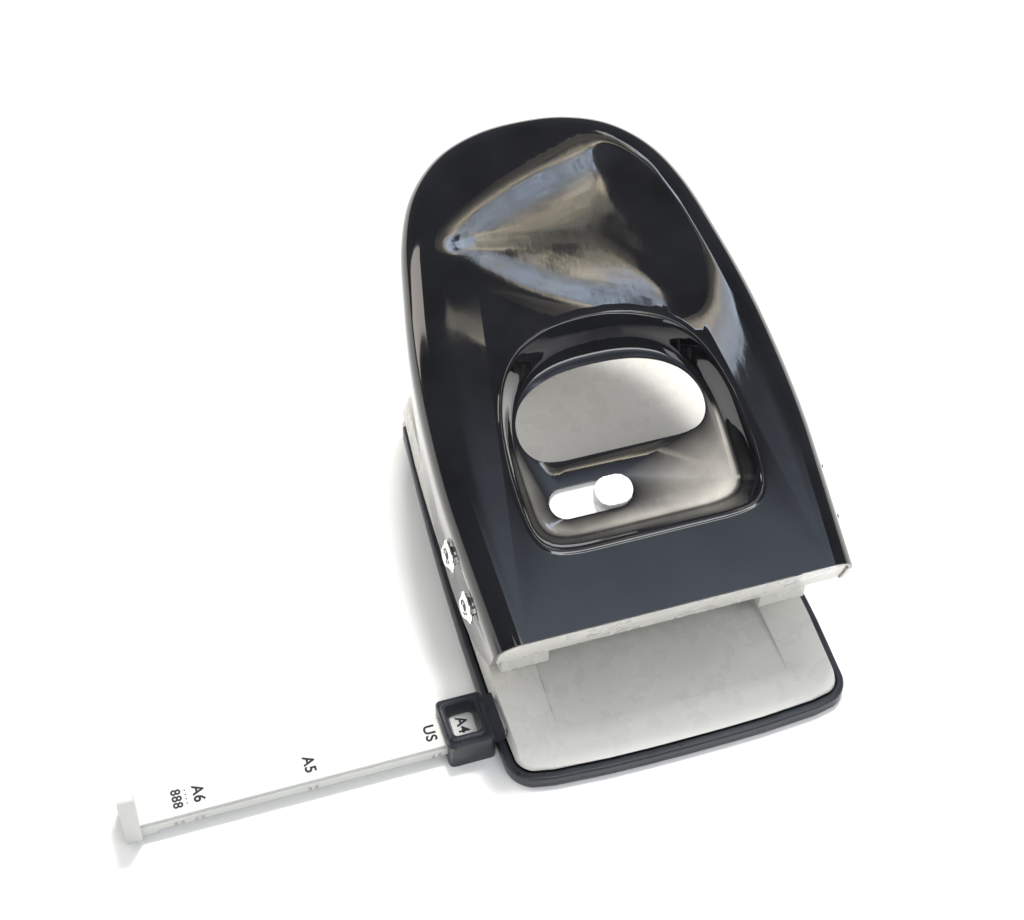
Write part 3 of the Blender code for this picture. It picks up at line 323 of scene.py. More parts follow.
def nickel(name):
    return metal(name, (0.60, 0.57, 0.51), 0.15, (1, 1, 1), 700, 0.006 * MM, 0.9)


def spring_steel(name):
    return metal(name, (0.45, 0.45, 0.46), 0.26, (1, 1, 8), 900, 0.006 * MM)


def rubber(name):
    finish = Finish(name, roughness=0.8)
    dusty = finish.spread(finish.noise(300, 5), 0, 1, 0.4, 0.7)
    finish.paint(finish.shade((0.022, 0.022, 0.023), (0.05, 0.05, 0.048), dusty))
    finish.gloss(finish.spread(finish.noise(150, 3), 0.72, 0.92))
    finish.bump(finish.noise(2500, 3), 0.03 * MM)
    return finish.material


# ---------------------------------------------------------------- modelling helpers


def curve(points, steps=8):
    """Smooth path through a few 2-D points."""
    points = [Vector(p) for p in points]
    padded = [2 * points[0] - points[1], *points, 2 * points[-1] - points[-2]]
    path = []
    for a, b, c, d in zip(padded, padded[1:], padded[2:], padded[3:]):
        for i in range(steps):
            t = i / steps
            path.append(
                0.5 * (2 * b + (c - a) * t + (2 * a - 5 * b + 4 * c - d) * t * t
                       + (3 * b - a - 3 * c + d) * t ** 3)
            )
    path.append(points[-1])
    return path


def evenly(path, count):
    """count + 1 points at equal steps along a path."""
    lengths = [0.0]
    for a, b in zip(path, path[1:]):
        lengths.append(lengths[-1] + (b - a).length)
    result = []
    j = 0
    for i in range(count + 1):
        wanted = lengths[-1] * i / count
        while j < len(path) - 2 and lengths[j + 1] < wanted:
            j += 1
        share = (wanted - lengths[j]) / max(lengths[j + 1] - lengths[j], 1e-9)
        result.append(path[j].lerp(path[j + 1], share))
    return result


def mix(a, b, t):
    return a + (b - a) * t


def ease(low, high, x):
    t = max(0.0, min(1.0, (x - low) / (high - low)))
    return t * t * (3 - 2 * t)


def shape(name, bm, place=None):
    """A working object from a bmesh given in millimetres, in the row frame or by place."""
    bmesh.ops.scale(bm, vec=(MM, MM, MM), verts=bm.verts)
    if place:
        bmesh.ops.transform(bm, matrix=place, verts=bm.verts)
    mesh = bpy.data.meshes.new(name)
    bm.to_mesh(mesh)
    bm.free()
    obj = bpy.data.objects.new(name, mesh)
    bpy.context.scene.collection.objects.link(obj)
    return obj


def settle(obj):
    """Apply the modifiers, so that the finished mesh stands alone."""
    graph = bpy.context.evaluated_depsgraph_get()
    made = bpy.data.meshes.new_from_object(obj.evaluated_get(graph), depsgraph=graph)
    old = obj.data
    obj.modifiers.clear()
    obj.data = made
    bpy.data.meshes.remove(old)


def boolean(obj, cutters, operation="DIFFERENCE"):
    """Cut or join one solid after another, and remove them."""
    for cutter in cutters:
        modifier = obj.modifiers.new("cut", "BOOLEAN")
        modifier.operation = operation
        modifier.solver = "EXACT"
        modifier.object = cutter
    settle(obj)
    for cutter in cutters:
        mesh = cutter.data
        bpy.data.objects.remove(cutter, do_unlink=True)
        bpy.data.meshes.remove(mesh)


def bevel_edges(obj, width, segments=2, angle=40, choose=None):
    """Round the sharp edges of a settled solid, all of them or those that choose accepts."""
    bm = bmesh.new()
    bm.from_mesh(obj.data)
    bmesh.ops.remove_doubles(bm, verts=bm.verts, dist=1e-6)
    bmesh.ops.dissolve_limit(bm, angle_limit=math.radians(0.4), verts=bm.verts, edges=bm.edges)
    sharp = [
        e for e in bm.edges
        if len(e.link_faces) == 2 and e.calc_face_angle(0) > math.radians(angle)
        and (choose is None or choose((e.verts[0].co + e.verts[1].co) / 2 / MM))
    ]
    bmesh.ops.bevel(
        bm, geom=sharp, offset=width * MM, offset_type="OFFSET", affect="EDGES",
        segments=segments, profile=0.5, material=-1, clamp_overlap=True,
    )
    bm.to_mesh(obj.data)
    bm.free()


def complete(obj, body, finish, replaced=(), sharp=34):
    """Give a finished piece its surface, its body and the CAD nodes it stands for."""
    obj.data.materials.clear()
    obj.data.materials.append(finish)
    obj.data.shade_smooth()
    obj.data.set_sharp_from_angle(angle=math.radians(sharp))
    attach(obj, body)
    if replaced:
        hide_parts(*replaced)
    return obj


def block(name, low, high, place=None):
    bm = bmesh.new()
    bmesh.ops.create_cube(bm, size=1)
    size = Vector(high) - Vector(low)
    middle = (Vector(high) + Vector(low)) / 2
    bmesh.ops.scale(bm, vec=size, verts=bm.verts)
    bmesh.ops.translate(bm, vec=middle, verts=bm.verts)
    return shape(name, bm, place)


def slab(name, outline, low, high, place=None, turn=None):
    """Extrude a closed outline in its own XY plane from low to high."""
    bm = bmesh.new()
    verts = [bm.verts.new((p[0], p[1], low)) for p in outline]
    for a, b in zip(verts, verts[1:] + verts[:1]):
        bm.edges.new((a, b))
    face = bmesh.ops.contextual_create(bm, geom=bm.edges[:])["faces"]
    top = bmesh.ops.extrude_face_region(bm, geom=face)["geom"]
    bmesh.ops.translate(
        bm, vec=(0, 0, high - low), verts=[v for v in top if isinstance(v, bmesh.types.BMVert)]
    )
    if turn:
        bmesh.ops.transform(bm, matrix=turn, verts=bm.verts)
    bmesh.ops.recalc_face_normals(bm, faces=bm.faces)
    return shape(name, bm, place)


def rod(name, start, end, radius, segments=48, place=None):
    start, end = Vector(start), Vector(end)
    run = end - start
    bm = bmesh.new()
    turn = run.to_track_quat("Z", "Y").to_matrix().to_4x4()
    bmesh.ops.create_cone(
        bm, cap_ends=True, segments=segments, radius1=radius, radius2=radius, depth=run.length,
        matrix=Matrix.Translation((start + end) / 2) @ turn,
    )
    return shape(name, bm, place)


def spun(name, profile, centre, axis="Z", steps=48, place=None):
    """Spin an (r, h) profile into a closed solid."""
    bm = bmesh.new()
    verts = [bm.verts.new((r, 0, h)) for r, h in profile]
    edges = [bm.edges.new((a, b)) for a, b in zip(verts, verts[1:])]
    if profile[0][0] > 0 or profile[-1][0] > 0:
        edges.append(bm.edges.new((verts[-1], verts[0])))
    bmesh.ops.spin(
        bm, geom=verts + edges, cent=(0, 0, 0), axis=(0, 0, 1), angle=2 * math.pi,
        steps=steps, use_merge=True,
    )
    bmesh.ops.remove_doubles(bm, verts=bm.verts, dist=0.0005)
    bmesh.ops.recalc_face_normals(bm, faces=bm.faces)
    if axis != "Z":
        bmesh.ops.rotate(
            bm, cent=(0, 0, 0), matrix=Matrix.Rotation(math.radians(90 * axis), 3, "Y"),
            verts=bm.verts,
        )
    bmesh.ops.translate(bm, vec=centre, verts=bm.verts)
    return shape(name, bm, place)


def rounded(low, high, radius, steps=6):
    """Rounded rectangle, counter-clockwise."""
    (x0, y0), (x1, y1) = low, high
    points = []
    for cx, cy, start in (
        (x1 - radius, y0 + radius, -90), (x1 - radius, y1 - radius, 0),
        (x0 + radius, y1 - radius, 90), (x0 + radius, y0 + radius, 180),
    ):
        for i in range(steps + 1):
            a = math.radians(start + 90 * i / steps)
            points.append((cx + radius * math.cos(a), cy + radius * math.sin(a)))
    return points


def mirrored(half):
    """Close a half outline given on +X from front middle to rear middle."""
    half = [tuple(p) for p in half]
    return half + [(-x, y) for x, y in reversed(half) if x > 1e-6]


def offset(outline, distance):
    """Move a counter-clockwise outline inwards, with mitred corners."""
    moved = []
    for i, point in enumerate(outline):
        here = Vector(point)
        first = (here - Vector(outline[i - 1])).normalized()
        second = (Vector(outline[(i + 1) % len(outline)]) - here).normalized()
        normal = Vector((-first.y - second.y, first.x + second.x))
        moved.append(tuple(here + normal * distance / (1 + first.dot(second))))
    return moved


# ---------------------------------------------------------------- handle


SIDE_STEPS = 96
FRONT_STEPS = 28
STATIONS = 2 * SIDE_STEPS + FRONT_STEPS


def handle_side():
    """Plan of one long side, from the front corner to the palm tip: (half width, distance)."""
    path = curve([
        (50.9, 0), (51.8, 20), (52.8, 44), (52.1, 66), (50.2, 86), (46.9, 105), (42.9, 122.5),
        (36.6, 136.2), (26.5, 146.2), (13.6, 151.4), (0.0, 152.7), (-13.6, 151.4),
    ])
    return [p for p in path if p.x >= -1e-6]


def lip_side():
    """Plan of half the recess's lip, from the front middle to the rear middle."""
    return curve([
        (0, 22), (12, 22), (22, 22.1), (28.6, 23.7), (32.0, 28.4), (32.9, 36), (32.8, 48),
        (31.9, 58), (29.7, 67), (26.2, 74), (21, 79.4), (14, 83), (7, 84.5), (0, 84.9),
    ])


def floor_side():
    """Plan of half the recess's floor, in the same order as the lip."""
    return curve([
        (0, 28.2), (11, 28.2), (19.5, 28.4), (25, 29.8), (27.7, 33.5), (28.2, 40), (28.5, 48),
        (28.3, 56), (26.6, 63), (23.3, 68.8), (18.5, 72.7), (12.5, 75.1), (6, 76.1), (0, 76.3),
    ])


def window_side():
    return curve([
        (0, 48.6), (12, 48.6), (18.6, 48.8), (23.3, 50.2), (26.2, 53.6), (27.2, 58), (26.5, 62.6),
        (23.8, 67.4), (19, 71.2), (12.5, 73.7), (6, 74.7), (0, 74.9),
    ])


def around(half, split):
    """Points of a mirrored half path at every station: front, right side, left side."""
    front = half[:split + 1]
    side = half[split:]
    right_front = evenly(front, FRONT_STEPS // 2)
    right_side = evenly(side, SIDE_STEPS)
    front_points = [Vector((-p.x, p.y)) for p in reversed(right_front)] + right_front[1:]
    left_side = [Vector((-p.x, p.y)) for p in reversed(right_side)]
    return front_points[:-1] + right_side[:-1] + left_side[:-1]


def corner_of(half):
    """Index of the path point on the front corner."""
    best = max(range(len(half) // 2), key=lambda i: half[i].x * 1.1 - half[i].y)
    return best


def side_frame():
    """Outline point and outward direction at each side station, right front to left front."""
    path = evenly(handle_side(), SIDE_STEPS)
    right = []
    for i, point in enumerate(path):
        before, after = path[max(i - 1, 0)], path[min(i + 1, SIDE_STEPS)]
        along = (after - before).normalized()
        out = Vector((along.y, -along.x))
        out.y *= ease(0, 22, point.y)
        if i == SIDE_STEPS:
            out = Vector((0, 1))
        right.append((point, out.normalized()))
    left = [(Vector((-p.x, p.y)), Vector((-n.x, n.y))) for p, n in reversed(right[:-1])]
    return right + left


DISH_EDGE = [
    (18.7, 141.0), (5.4, 138.2), (-8.1, 134.2), (-18.6, 129.8), (-28.0, 124.8), (-34.2, 120.4),
    (-36.6, 115.6), (-34.6, 110.6), (-30.2, 106.5), (-22.8, 100.0), (-13.0, 92.6), (-0.4, 85.4),
    (12.6, 79.3), (24.0, 76.0), (34.0, 78.5), (39.5, 88.0), (41.0, 101.0), (38.5, 115.0),
    (34.0, 127.5), (27.5, 137.0),
]
# how steeply the dish falls against distance inside its edge, as shares of its steepest slope
DISH_SLOPES = ((0.0, 0.0), (1.5, 0.04), (5.0, 1.0), (7.0, 0.84), (14.0, 0.60), (26.0, 0.26), (42.0, 0.0))


class Dish:
    """The palm dish as a height field over the handle's upper face, from 0 to -1."""

    def __init__(self):
        closed = DISH_EDGE[-1:] + DISH_EDGE + DISH_EDGE[:2]
        self.edge = curve(closed, 4)[4:-4]
        self.x0, self.s0 = -62.0, 56.0
        grid = np.meshgrid(self.x0 + np.arange(126.0), self.s0 + np.arange(112.0), indexing="ij")
        nearest = np.full(grid[0].shape, 1e9)
        inside = np.zeros(grid[0].shape, bool)
        for a, b in zip(self.edge, self.edge[1:]):
            run = b - a
            if run.length < 1e-6:
                continue
            gx, gs = grid[0] - a.x, grid[1] - a.y
            t = np.clip((gx * run.x + gs * run.y) / run.length_squared, 0, 1)
            nearest = np.minimum(nearest, np.hypot(gx - t * run.x, gs - t * run.y))
            crossing = (a.y > grid[1]) != (b.y > grid[1])
            side = gx < run.x * gs / (run.y if abs(run.y) > 1e-9 else 1e-9)
            inside ^= crossing & side
        signed = np.where(inside, nearest, -nearest)
        distances = np.linspace(0, 42, 85)
        slopes = np.interp(distances, *zip(*DISH_SLOPES))
        depth = np.cumsum(slopes) / slopes.sum()
        field = np.interp(signed, distances, depth)
        for _ in range(7):
            around = sum(np.roll(field, shift, axis) for shift in (-1, 1) for axis in (0, 1))
            field = (field * 2 + around) / 6
        self.field = -field

    def height(self, x, s):
        i = min(max(x - self.x0, 0.0), 124.0)
        j = min(max(s - self.s0, 0.0), 110.0)
        i0, j0 = int(i), int(j)
        u, v = i - i0, j - j0
        f = self.field
        near = mix(f[i0, j0], f[i0 + 1, j0], u)
        return float(mix(near, mix(f[i0, j0 + 1], f[i0 + 1, j0 + 1], u), v))


def skirt_depth():
    """Depth of the skirt below the upper face against distance from the front."""
    path = curve([
        (-1, 15.4), (3, 19.6), (8, 25.6), (14, 30), (20, 31.9), (28, 32), (36, 30.4), (45, 27.9),
        (53, 24.6), (61, 20.6), (71, 16.9), (84, 14.2), (104, 12.7), (130, 12.1), (156, 12),
    ])

    def depth(s):
        for a, b in zip(path, path[1:]):
            if a.x <= s <= b.x:
                return mix(a.y, b.y, (s - a.x) / (b.x - a.x))
        return path[-1].y

    return depth


def grow(bm, layer, edges, place):
    """Extrude a strip of edges and move each new vertex to its station's place."""
    made = bmesh.ops.extrude_edge_only(bm, edges=edges)["geom"]
    for vert in made:
        if isinstance(vert, bmesh.types.BMVert):
            x, s, n = place(vert[layer])
            vert.co = (x, s - PIVOT_FROM_FRONT, n)
    return [item for item in made if isinstance(item, bmesh.types.BMEdge)
            and not any(len(f.verts) == 0 for f in item.link_faces)
            and len(item.link_faces) == 1 and all(v in made for v in item.verts)]


class PUNCH_OT_handle(bpy.types.Operator):
    """Pressed steel handle: dished top, rounded shoulders, skirts and the beaded recess"""

    bl_idname = "punch.handle"
    bl_label = "Handle"

    def execute(self, context):
        lip_half, floor_half = lip_side(), floor_side()
        lip = around(lip_half, corner_of(lip_half))
        floor = around(floor_half, corner_of(floor_half))
        sides = side_frame()
        palm = Dish()
        bead = sizes().lip_bead / MM
        dish = sizes().dish_depth / MM

        outer = []
        for i in range(FRONT_STEPS):
            t = i / FRONT_STEPS
            outer.append(Vector((mix(-1, 1, t) * (sides[0][0].x - SHOULDER), 0.0)))
        for point, out in sides[:-1]:
            outer.append(point - out * SHOULDER)

        def recess(i, plan, depth):
            spot = floor[i].lerp(lip[i], plan)
            return spot.x, spot.y, TOP + depth

        def beaded(i, plan, depth):
            out = (outer[i] - lip[i]).normalized()
            spot = lip[i] + out * plan
            return spot.x, spot.y, TOP + depth + dish * palm.height(spot.x, spot.y)

        def top(i, t):
            out = (outer[i] - lip[i]).normalized()
            start = lip[i] + out * 2.4
            spot = start.lerp(outer[i], t)
            rim = ease(0, 4, (outer[i] - spot).length)
            return spot.x, spot.y, TOP + dish * palm.height(spot.x, spot.y) * rim

        def side_at(i):
            return sides[i - FRONT_STEPS if i >= FRONT_STEPS else -1]

        def shoulder(i, angle):
            point, out = side_at(i)
            spot = point - out * SHOULDER * (1 - math.sin(angle))
            return spot.x, spot.y, TOP - SHOULDER * (1 - math.cos(angle))

        depth_at = skirt_depth()

        def skirt(i, t):
            point = side_at(i)[0]
            return point.x, point.y, TOP - mix(SHOULDER, depth_at(point.y), t)

        bm = bmesh.new()
        layer = bm.verts.layers.int.new("station")
        verts = []
        for i in range(STATIONS):
            x, s, n = recess(i, 0.0, -RECESS)
            vert = bm.verts.new((x, s - PIVOT_FROM_FRONT, n))
            vert[layer] = i
            verts.append(vert)
        ring = [bm.edges.new((a, b)) for a, b in zip(verts, verts[1:] + verts[:1])]
        bmesh.ops.contextual_create(bm, geom=ring)
        wall = [(0.10, -7.55), (0.22, -7.1), (0.34, -6.3), (0.46, -5.2), (0.58, -4.0),
                (0.70, -2.8), (0.82, -1.7), (0.93, -0.75), (1.0, -0.15)]
        for plan, depth in wall:
            ring = grow(bm, layer, ring, lambda i, p=plan, d=depth: recess(i, p, d))
        for plan, depth in ((0.35, 0.55), (0.75, 0.95), (1.2, 1.0), (1.65, 0.75), (2.0, 0.3),
                            (2.4, 0.0)):
            ring = grow(bm, layer, ring, lambda i, p=plan, d=depth * bead: beaded(i, p, d))
        for k in range(1, 45):
            ring = grow(bm, layer, ring, lambda i, t=k / 44: top(i, t))
        strip = [e for e in ring
                 if not any(0 < v[layer] < FRONT_STEPS for v in e.verts)
                 and not {v[layer] for v in e.verts} == {0, 1}]
        for k in range(1, 11):
            angle = math.radians(9 * k)
            strip = grow(bm, layer, strip, lambda i, a=angle: shoulder(i, a))
        for k in range(1, 9):
            strip = grow(bm, layer, strip, lambda i, t=k / 8: skirt(i, t))
        bmesh.ops.recalc_face_normals(bm, faces=bm.faces)
        middle = max(bm.faces, key=lambda f: f.calc_area())
        if middle.normal.z < 0:
            bmesh.ops.reverse_faces(bm, faces=bm.faces)
        shelf_sheen_and_dust = bm.verts.layers.float.new("shelf_sheen_and_dust")
        # Mask for the shelf colour: dust on the recess shelf, and a painted highlight that grows from
        # 0.3 at the left to full strength towards +X.
        for vert in bm.verts:
            deep = ease(6.9, 7.65, TOP - vert.co.z)
            shelf = 1 - ease(50, 56, vert.co.y + PIVOT_FROM_FRONT)
            vert[shelf_sheen_and_dust] = deep * shelf * mix(0.30, 1.0, ease(-26, 6, vert.co.x))
        handle = shape("handle_skin", bm, HANDLE)
        sheet = handle.modifiers.new("sheet", "SOLIDIFY")
        sheet.thickness = SHEET * MM
        sheet.offset = -1
        sheet.use_even_offset = True
        settle(handle)
        cutters = [slab("window", mirrored(window_side()), -6, 12, LOCAL_MM)]
        stadium = rounded((-24.4, 32.2), (-0.8, 41.4), 4.58, 12)
        cutters.append(slab("slot", stadium, 2, 12, LOCAL_MM))
        for _, behind in AXLES:
            y = PIVOT_FROM_FRONT + behind
            cutters.append(rod("axle_hole", (-70, y, 0), (70, y, 0), 2.75, 48, LOCAL_MM))
        boolean(handle, cutters)
        bevel_edges(handle, 0.28, 2, 60)
        complete(handle, "handle", once("gloss_enamel", enamel), ("handle_shell",),
                 50)
        return {"FINISHED"}


class PUNCH_OT_front_liner(bpy.types.Operator):
    """Grey liner inside the handle's front opening"""

    bl_idname = "punch.front_liner"
    bl_label = "Front liner"

    def execute(self, context):
        w, low, top = 49.3, TOP - 16.7, TOP - 1.5
        outline = [(-w + 0.8, low), (w - 0.8, low), (w, low + 0.8)]
        for i in range(9):
            a = math.radians(90 * i / 8)
            outline.append((w - 6.8 + 6.8 * math.cos(a), top - 6.8 + 6.8 * math.sin(a)))
        for i in range(9):
            a = math.radians(90 + 90 * i / 8)
            outline.append((-w + 6.8 + 6.8 * math.cos(a), top - 6.8 + 6.8 * math.sin(a)))
        outline.append((-w, low + 0.8))
        turn = Matrix(((1, 0, 0, 0), (0, 0, -1, 0), (0, 1, 0, 0), (0, 0, 0, 1)))
        liner = slab("front_liner", outline, -3.4, -0.45, LOCAL_MM, turn)
        hollow = slab("liner_hollow", rounded((-w + 2, low + 1.5), (w - 2, top - 1.5), 5), -9, -1.9,
                      LOCAL_MM, turn)
        boolean(liner, [hollow])
        bevel_edges(liner, 0.45, 3)
        complete(liner, "handle", once("body_plastic", body_plastic), ("handle_fascia",))
        return {"FINISHED"}


class PUNCH_OT_axle_caps(bpy.types.Operator):
    """Star-crimped push-on caps on the ends of both axles, and the axles' finish"""

    bl_idname = "punch.axle_caps"
    bl_label = "Axle caps"

    def execute(self, context):
        finish = once("bright_nickel", nickel)
        for name, y in AXLES:
            for side, sign in SIDES:
                node = f"{name}_cap_{side}"
                low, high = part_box(node)
                inner = (low[0] if sign > 0 else -high[0]) / MM
                profile = [(2.9, 0.0), (4.5, 0.0), (4.6, 0.2), (4.5, 0.45), (4.05, 0.7),
                           (3.6, 0.85), (3.2, 1.2), (2.8, 1.7), (2.0, 1.95), (1.1, 2.0),
                           (0.0, 2.0), (0.0, 1.45), (2.9, 1.45)]
                cap = spun(f"push_cap_{name}_{side}", profile, (sign * inner, y, 0), sign, 48,
                           HANDLE)
                teeth = sizes().cap_teeth
                cutters = []
                for k in range(teeth):
                    a = 2 * math.pi * (k + 0.25) / teeth
                    bm = bmesh.new()
                    bmesh.ops.create_cone(bm, cap_ends=True, segments=16, radius1=0.75,
                                          radius2=0.25, depth=3.2)
                    tilt = Matrix.Rotation(math.radians(58), 4, "Y")
                    spot = (Matrix.Rotation(sign * math.pi / 2, 4, "Y")
                            @ Matrix.Rotation(a, 4, "Z") @ Matrix.Translation((3.4, 0, 1.8)) @ tilt)
                    bmesh.ops.transform(bm, matrix=Matrix.Translation((sign * inner, y, 0)) @ spot,
                                        verts=bm.verts)
                    cutters.append(shape("crimp", bm, HANDLE))
                boolean(cap, cutters)
                bevel_edges(cap, 0.10, 1, 45)
                complete(cap, "handle", finish, (node,), 30)
        for node in ("front_axle", "drive_axle"):
            set_finish(node, finish)
        return {"FINISHED"}


def set_finish(node, finish):
    obj = NODES[node]
    if not obj.material_slots:
        obj.data.materials.append(finish)
    for slot in obj.material_slots:
        slot.material = finish


class PUNCH_OT_lock_slider(bpy.types.Operator):
    """Ribbed lock knob on its slide plate, with the foot that reaches for the catch"""

    bl_idname = "punch.lock_slider"
    bl_label = "Lock slider"

    def execute(self, context):
        under = TOP - RECESS - SHEET - 0.3
        right, left, middle = -1.1, -11.7, 36.8
        plate = slab("lock_knob", rounded((left - 14.1, middle - 5.5), (right + 13.4, middle + 5.5),
                                          0.8), under - 1.2, under, LOCAL_MM)
        knob = slab("knob", rounded((left, middle - 4.25), (right, middle + 4.25), 4.1, 10),
                    under - 0.6, under + 3.55, LOCAL_MM)
        leg = block("leg", (-4.0, 43.3, -6.8), (0.0, 45.3, under - 0.4), LOCAL_MM)
        arm = block("arm", (-3.0, middle + 4.3, under - 1.2), (0.0, 45.3, under - 0.25), LOCAL_MM)
        foot = block("foot", (-10.0, 43.3, -6.8), (-2.0, 45.3, -5.4), LOCAL_MM)
        boolean(plate, [knob, leg, arm, foot], "UNION")
        count = sizes().knob_ribs
        cutters = []
        for k in range(count + 1):
            x = mix(left + 1.3, right - 1.3, k / count)
            cutters.append(
                rod("groove", (x, middle - 9, under + 3.95), (x, middle + 9, under + 3.95), 0.72, 24,
                    LOCAL_MM))
        boolean(plate, cutters)
        bevel_edges(plate, 0.16, 2, 40)
        complete(plate, "lock", once("knob_plastic", knob_plastic), ("lock_slider",))
        return {"FINISHED"}


# ---------------------------------------------------------------- base


def base_half(rear, corner=9.0):
    """Half outline of the base from the front middle to the rear middle, in millimetres."""
    w, front = 50.6, -73.0
    points = [(0, front), (w * 0.22, front + 0.08), (w * 0.45, front + 0.32),
              (w - 12.2, front + 1.35)]
    for i in range(9):
        a = math.radians(-70 + 62 * i / 8)
        points.append((w - 9.2 + 8.6 * math.cos(a), front + 10.6 + 8.6 * math.sin(a)))
    for y in range(-44, 45, 8):
        points.append((w - 0.00045 * (y + 50) ** 2, y))
    rear_half = w - 0.00045 * (rear - corner + 50) ** 2
    for i in range(9):
        a = math.radians(90 * i / 8)
        points.append((rear_half - corner + corner * math.cos(a),
                       rear - corner + corner * math.sin(a)))
    points.append((0, rear))
    return points


def base_ring(distance, rear, corner=9.0):
    return offset(mirrored(base_half(rear, corner)), distance)


def lofted(name, rings):
    """Solid from rings of equal counts, each (outline, z), bridged one to the next."""
    bm = bmesh.new()
    loops = []
    for outline, z in rings:
        verts = [bm.verts.new((p[0], p[1], z)) for p in outline]
        loops.append([bm.edges.new((a, b)) for a, b in zip(verts, verts[1:] + verts[:1])])
    for first, second in zip(loops, loops[1:]):
        bmesh.ops.bridge_loops(bm, edges=first + second)
    bmesh.ops.contextual_create(bm, geom=loops[0])
    bmesh.ops.contextual_create(bm, geom=loops[-1])
    bmesh.ops.recalc_face_normals(bm, faces=bm.faces)
    return shape(name, bm)


def cut_plane(obj, point, normal):
    """Remove what lies beyond a plane given in millimetres, and close the cut."""
    bm = bmesh.new()
    bm.from_mesh(obj.data)
    cut = bmesh.ops.bisect_plane(
        bm, geom=bm.verts[:] + bm.edges[:] + bm.faces[:], plane_co=Vector(point) * MM,
        plane_no=normal, clear_outer=True,
    )["geom_cut"]
    bmesh.ops.contextual_create(bm, geom=[e for e in cut if isinstance(e, bmesh.types.BMEdge)])
    bmesh.ops.recalc_face_normals(bm, faces=bm.faces)
    bm.to_mesh(obj.data)
    bm.free()


def base_block(name, inset, drop, rear):
    """The grey cover's outer form, or its hollow when inset and dropped."""
    low = 4.8 if drop == 0 else -6.0
    draft = 1.5
    rings = []
    for extra, z in ((0.0, low), (draft, 10.2 - drop)):
        ring = base_ring(2.6 + inset + extra, rear)
        wide = [(x * (1 + 0.040 * ease(-30, 60, y)), y) for x, y in ring]
        rings.append((wide, z))
    obj = lofted(name, rings)
    front = -70.4 + inset
    lip = (0, front + 8.5, 8.35 - drop)
    bottom = (0, front + 0.05, 4.8 - drop)
    slope = Vector((0, -(lip[2] - bottom[2]), lip[1] - bottom[1])).normalized()
    cut_plane(obj, lip, slope)
    table = Vector((0, -(10.2 - 8.35), -29.9 - (front + 8.5))).normalized()
    cut_plane(obj, lip, table)
    if drop == 0:
        cut_plane(obj, (0, rear - 6.2, 10.2), Vector((0, 2.2, 4.0)).normalized())
    return obj


def scoop(name):
    """Drafted wedge for the finger scoop, with filleted corners at its floor."""
    bm = bmesh.new()
    loops = []
    for y, z, half in ((-60.2, 8.36, 34.2), (-53, 8.22, 34.0), (-46, 8.02, 33.7), (-39, 7.55, 33.3),
                       (-30.7, 6.9, 32.8)):
        r = min(1.6, max(0.25, (9.2 - z) * 0.9))
        outline = [(35.6, 14.0)]
        for i in range(5):
            a = math.radians(-8 - 82 * i / 4)
            outline.append((half - r + r * math.cos(a), z + r + r * math.sin(a)))
        outline += [(-x, h) for x, h in reversed(outline)]
        verts = [bm.verts.new((x, y, h)) for x, h in outline]
        loops.append([bm.edges.new((a, b)) for a, b in zip(verts, verts[1:] + verts[:1])])
    for first, second in zip(loops, loops[1:]):
        bmesh.ops.bridge_loops(bm, edges=first + second)
    bmesh.ops.contextual_create(bm, geom=loops[0])
    bmesh.ops.contextual_create(bm, geom=loops[-1])
    bmesh.ops.recalc_face_normals(bm, faces=bm.faces)
    return shape(name, bm)


class PUNCH_OT_base_cover(bpy.types.Operator):
    """Light grey base moulding with its side rails, finger scoop and chassis pocket"""

    bl_idname = "punch.base_cover"
    bl_label = "Base cover"

    def execute(self, context):
        rear = 72.6
        cover = base_block("base_cover", 0, 0, rear)
        bevel_edges(cover, sizes().edge_round / MM * 1.5, 4, 24, lambda c: c.z > 5.4)
        skirt = block("rear_skirt", (-36, 60.6, 0.4), (36, 68.8, 7))
        boolean(cover, [skirt], "UNION")
        hollow = base_block("hollow", 1.5, 1.5, rear)
        keep = block("rear_keep", (-90, 60, -20), (90, 90, 30))
        boolean(hollow, [keep])
        boolean(cover, [hollow])
        ledge = block("ledge", (-46.1, -33.2, 5.4), (46.1, 9.5, 9.7))
        under = slab("scoop_slab", [(-61, 7.1), (-44.2, 7.1), (-31.7, 5.4), (-31.7, 9.5), (-61, 8.0)],
                     -36, 36, None, Matrix(((0, 0, 1, 0), (1, 0, 0, 0), (0, 1, 0, 0), (0, 0, 0, 1))))
        bosses = []
        for x, y in SCREWS:
            bosses.append(rod("boss", (x, y, 2.1), (x, y, 7.2), 3.0, 32))
        boolean(cover, [ledge, under, *bosses], "UNION")
        cutters = [
            block("pocket", (-44.3, -31, 8.4), (44.3, 7.8, 30)),
            block("chute", (-43.2, -28.7, -10), (43.2, -10.3, 30)),
            scoop("scoop"),
            block("passage", (-61, -55.6, 0), (-42.6, -44.4, 7.1)),
        ]
        for x, y in SCREWS:
            cutters.append(rod("pilot", (x, y, 0), (x, y, 6.5), 1.8, 24))
        for x in (-24, 24):
            cutters.append(rod("pilot", (x, 2, 0), (x, 2, 20), 1.8, 24))
        boolean(cover, cutters)
        bevel_edges(cover, 0.45, 3, 30,
                    lambda c: 31 < abs(c.x) < 38 and -59 < c.y < -31.2 and c.z > 8.3)
        complete(cover, "base", once("body_plastic", body_plastic), ("base_body",),
                 28)
        return {"FINISHED"}


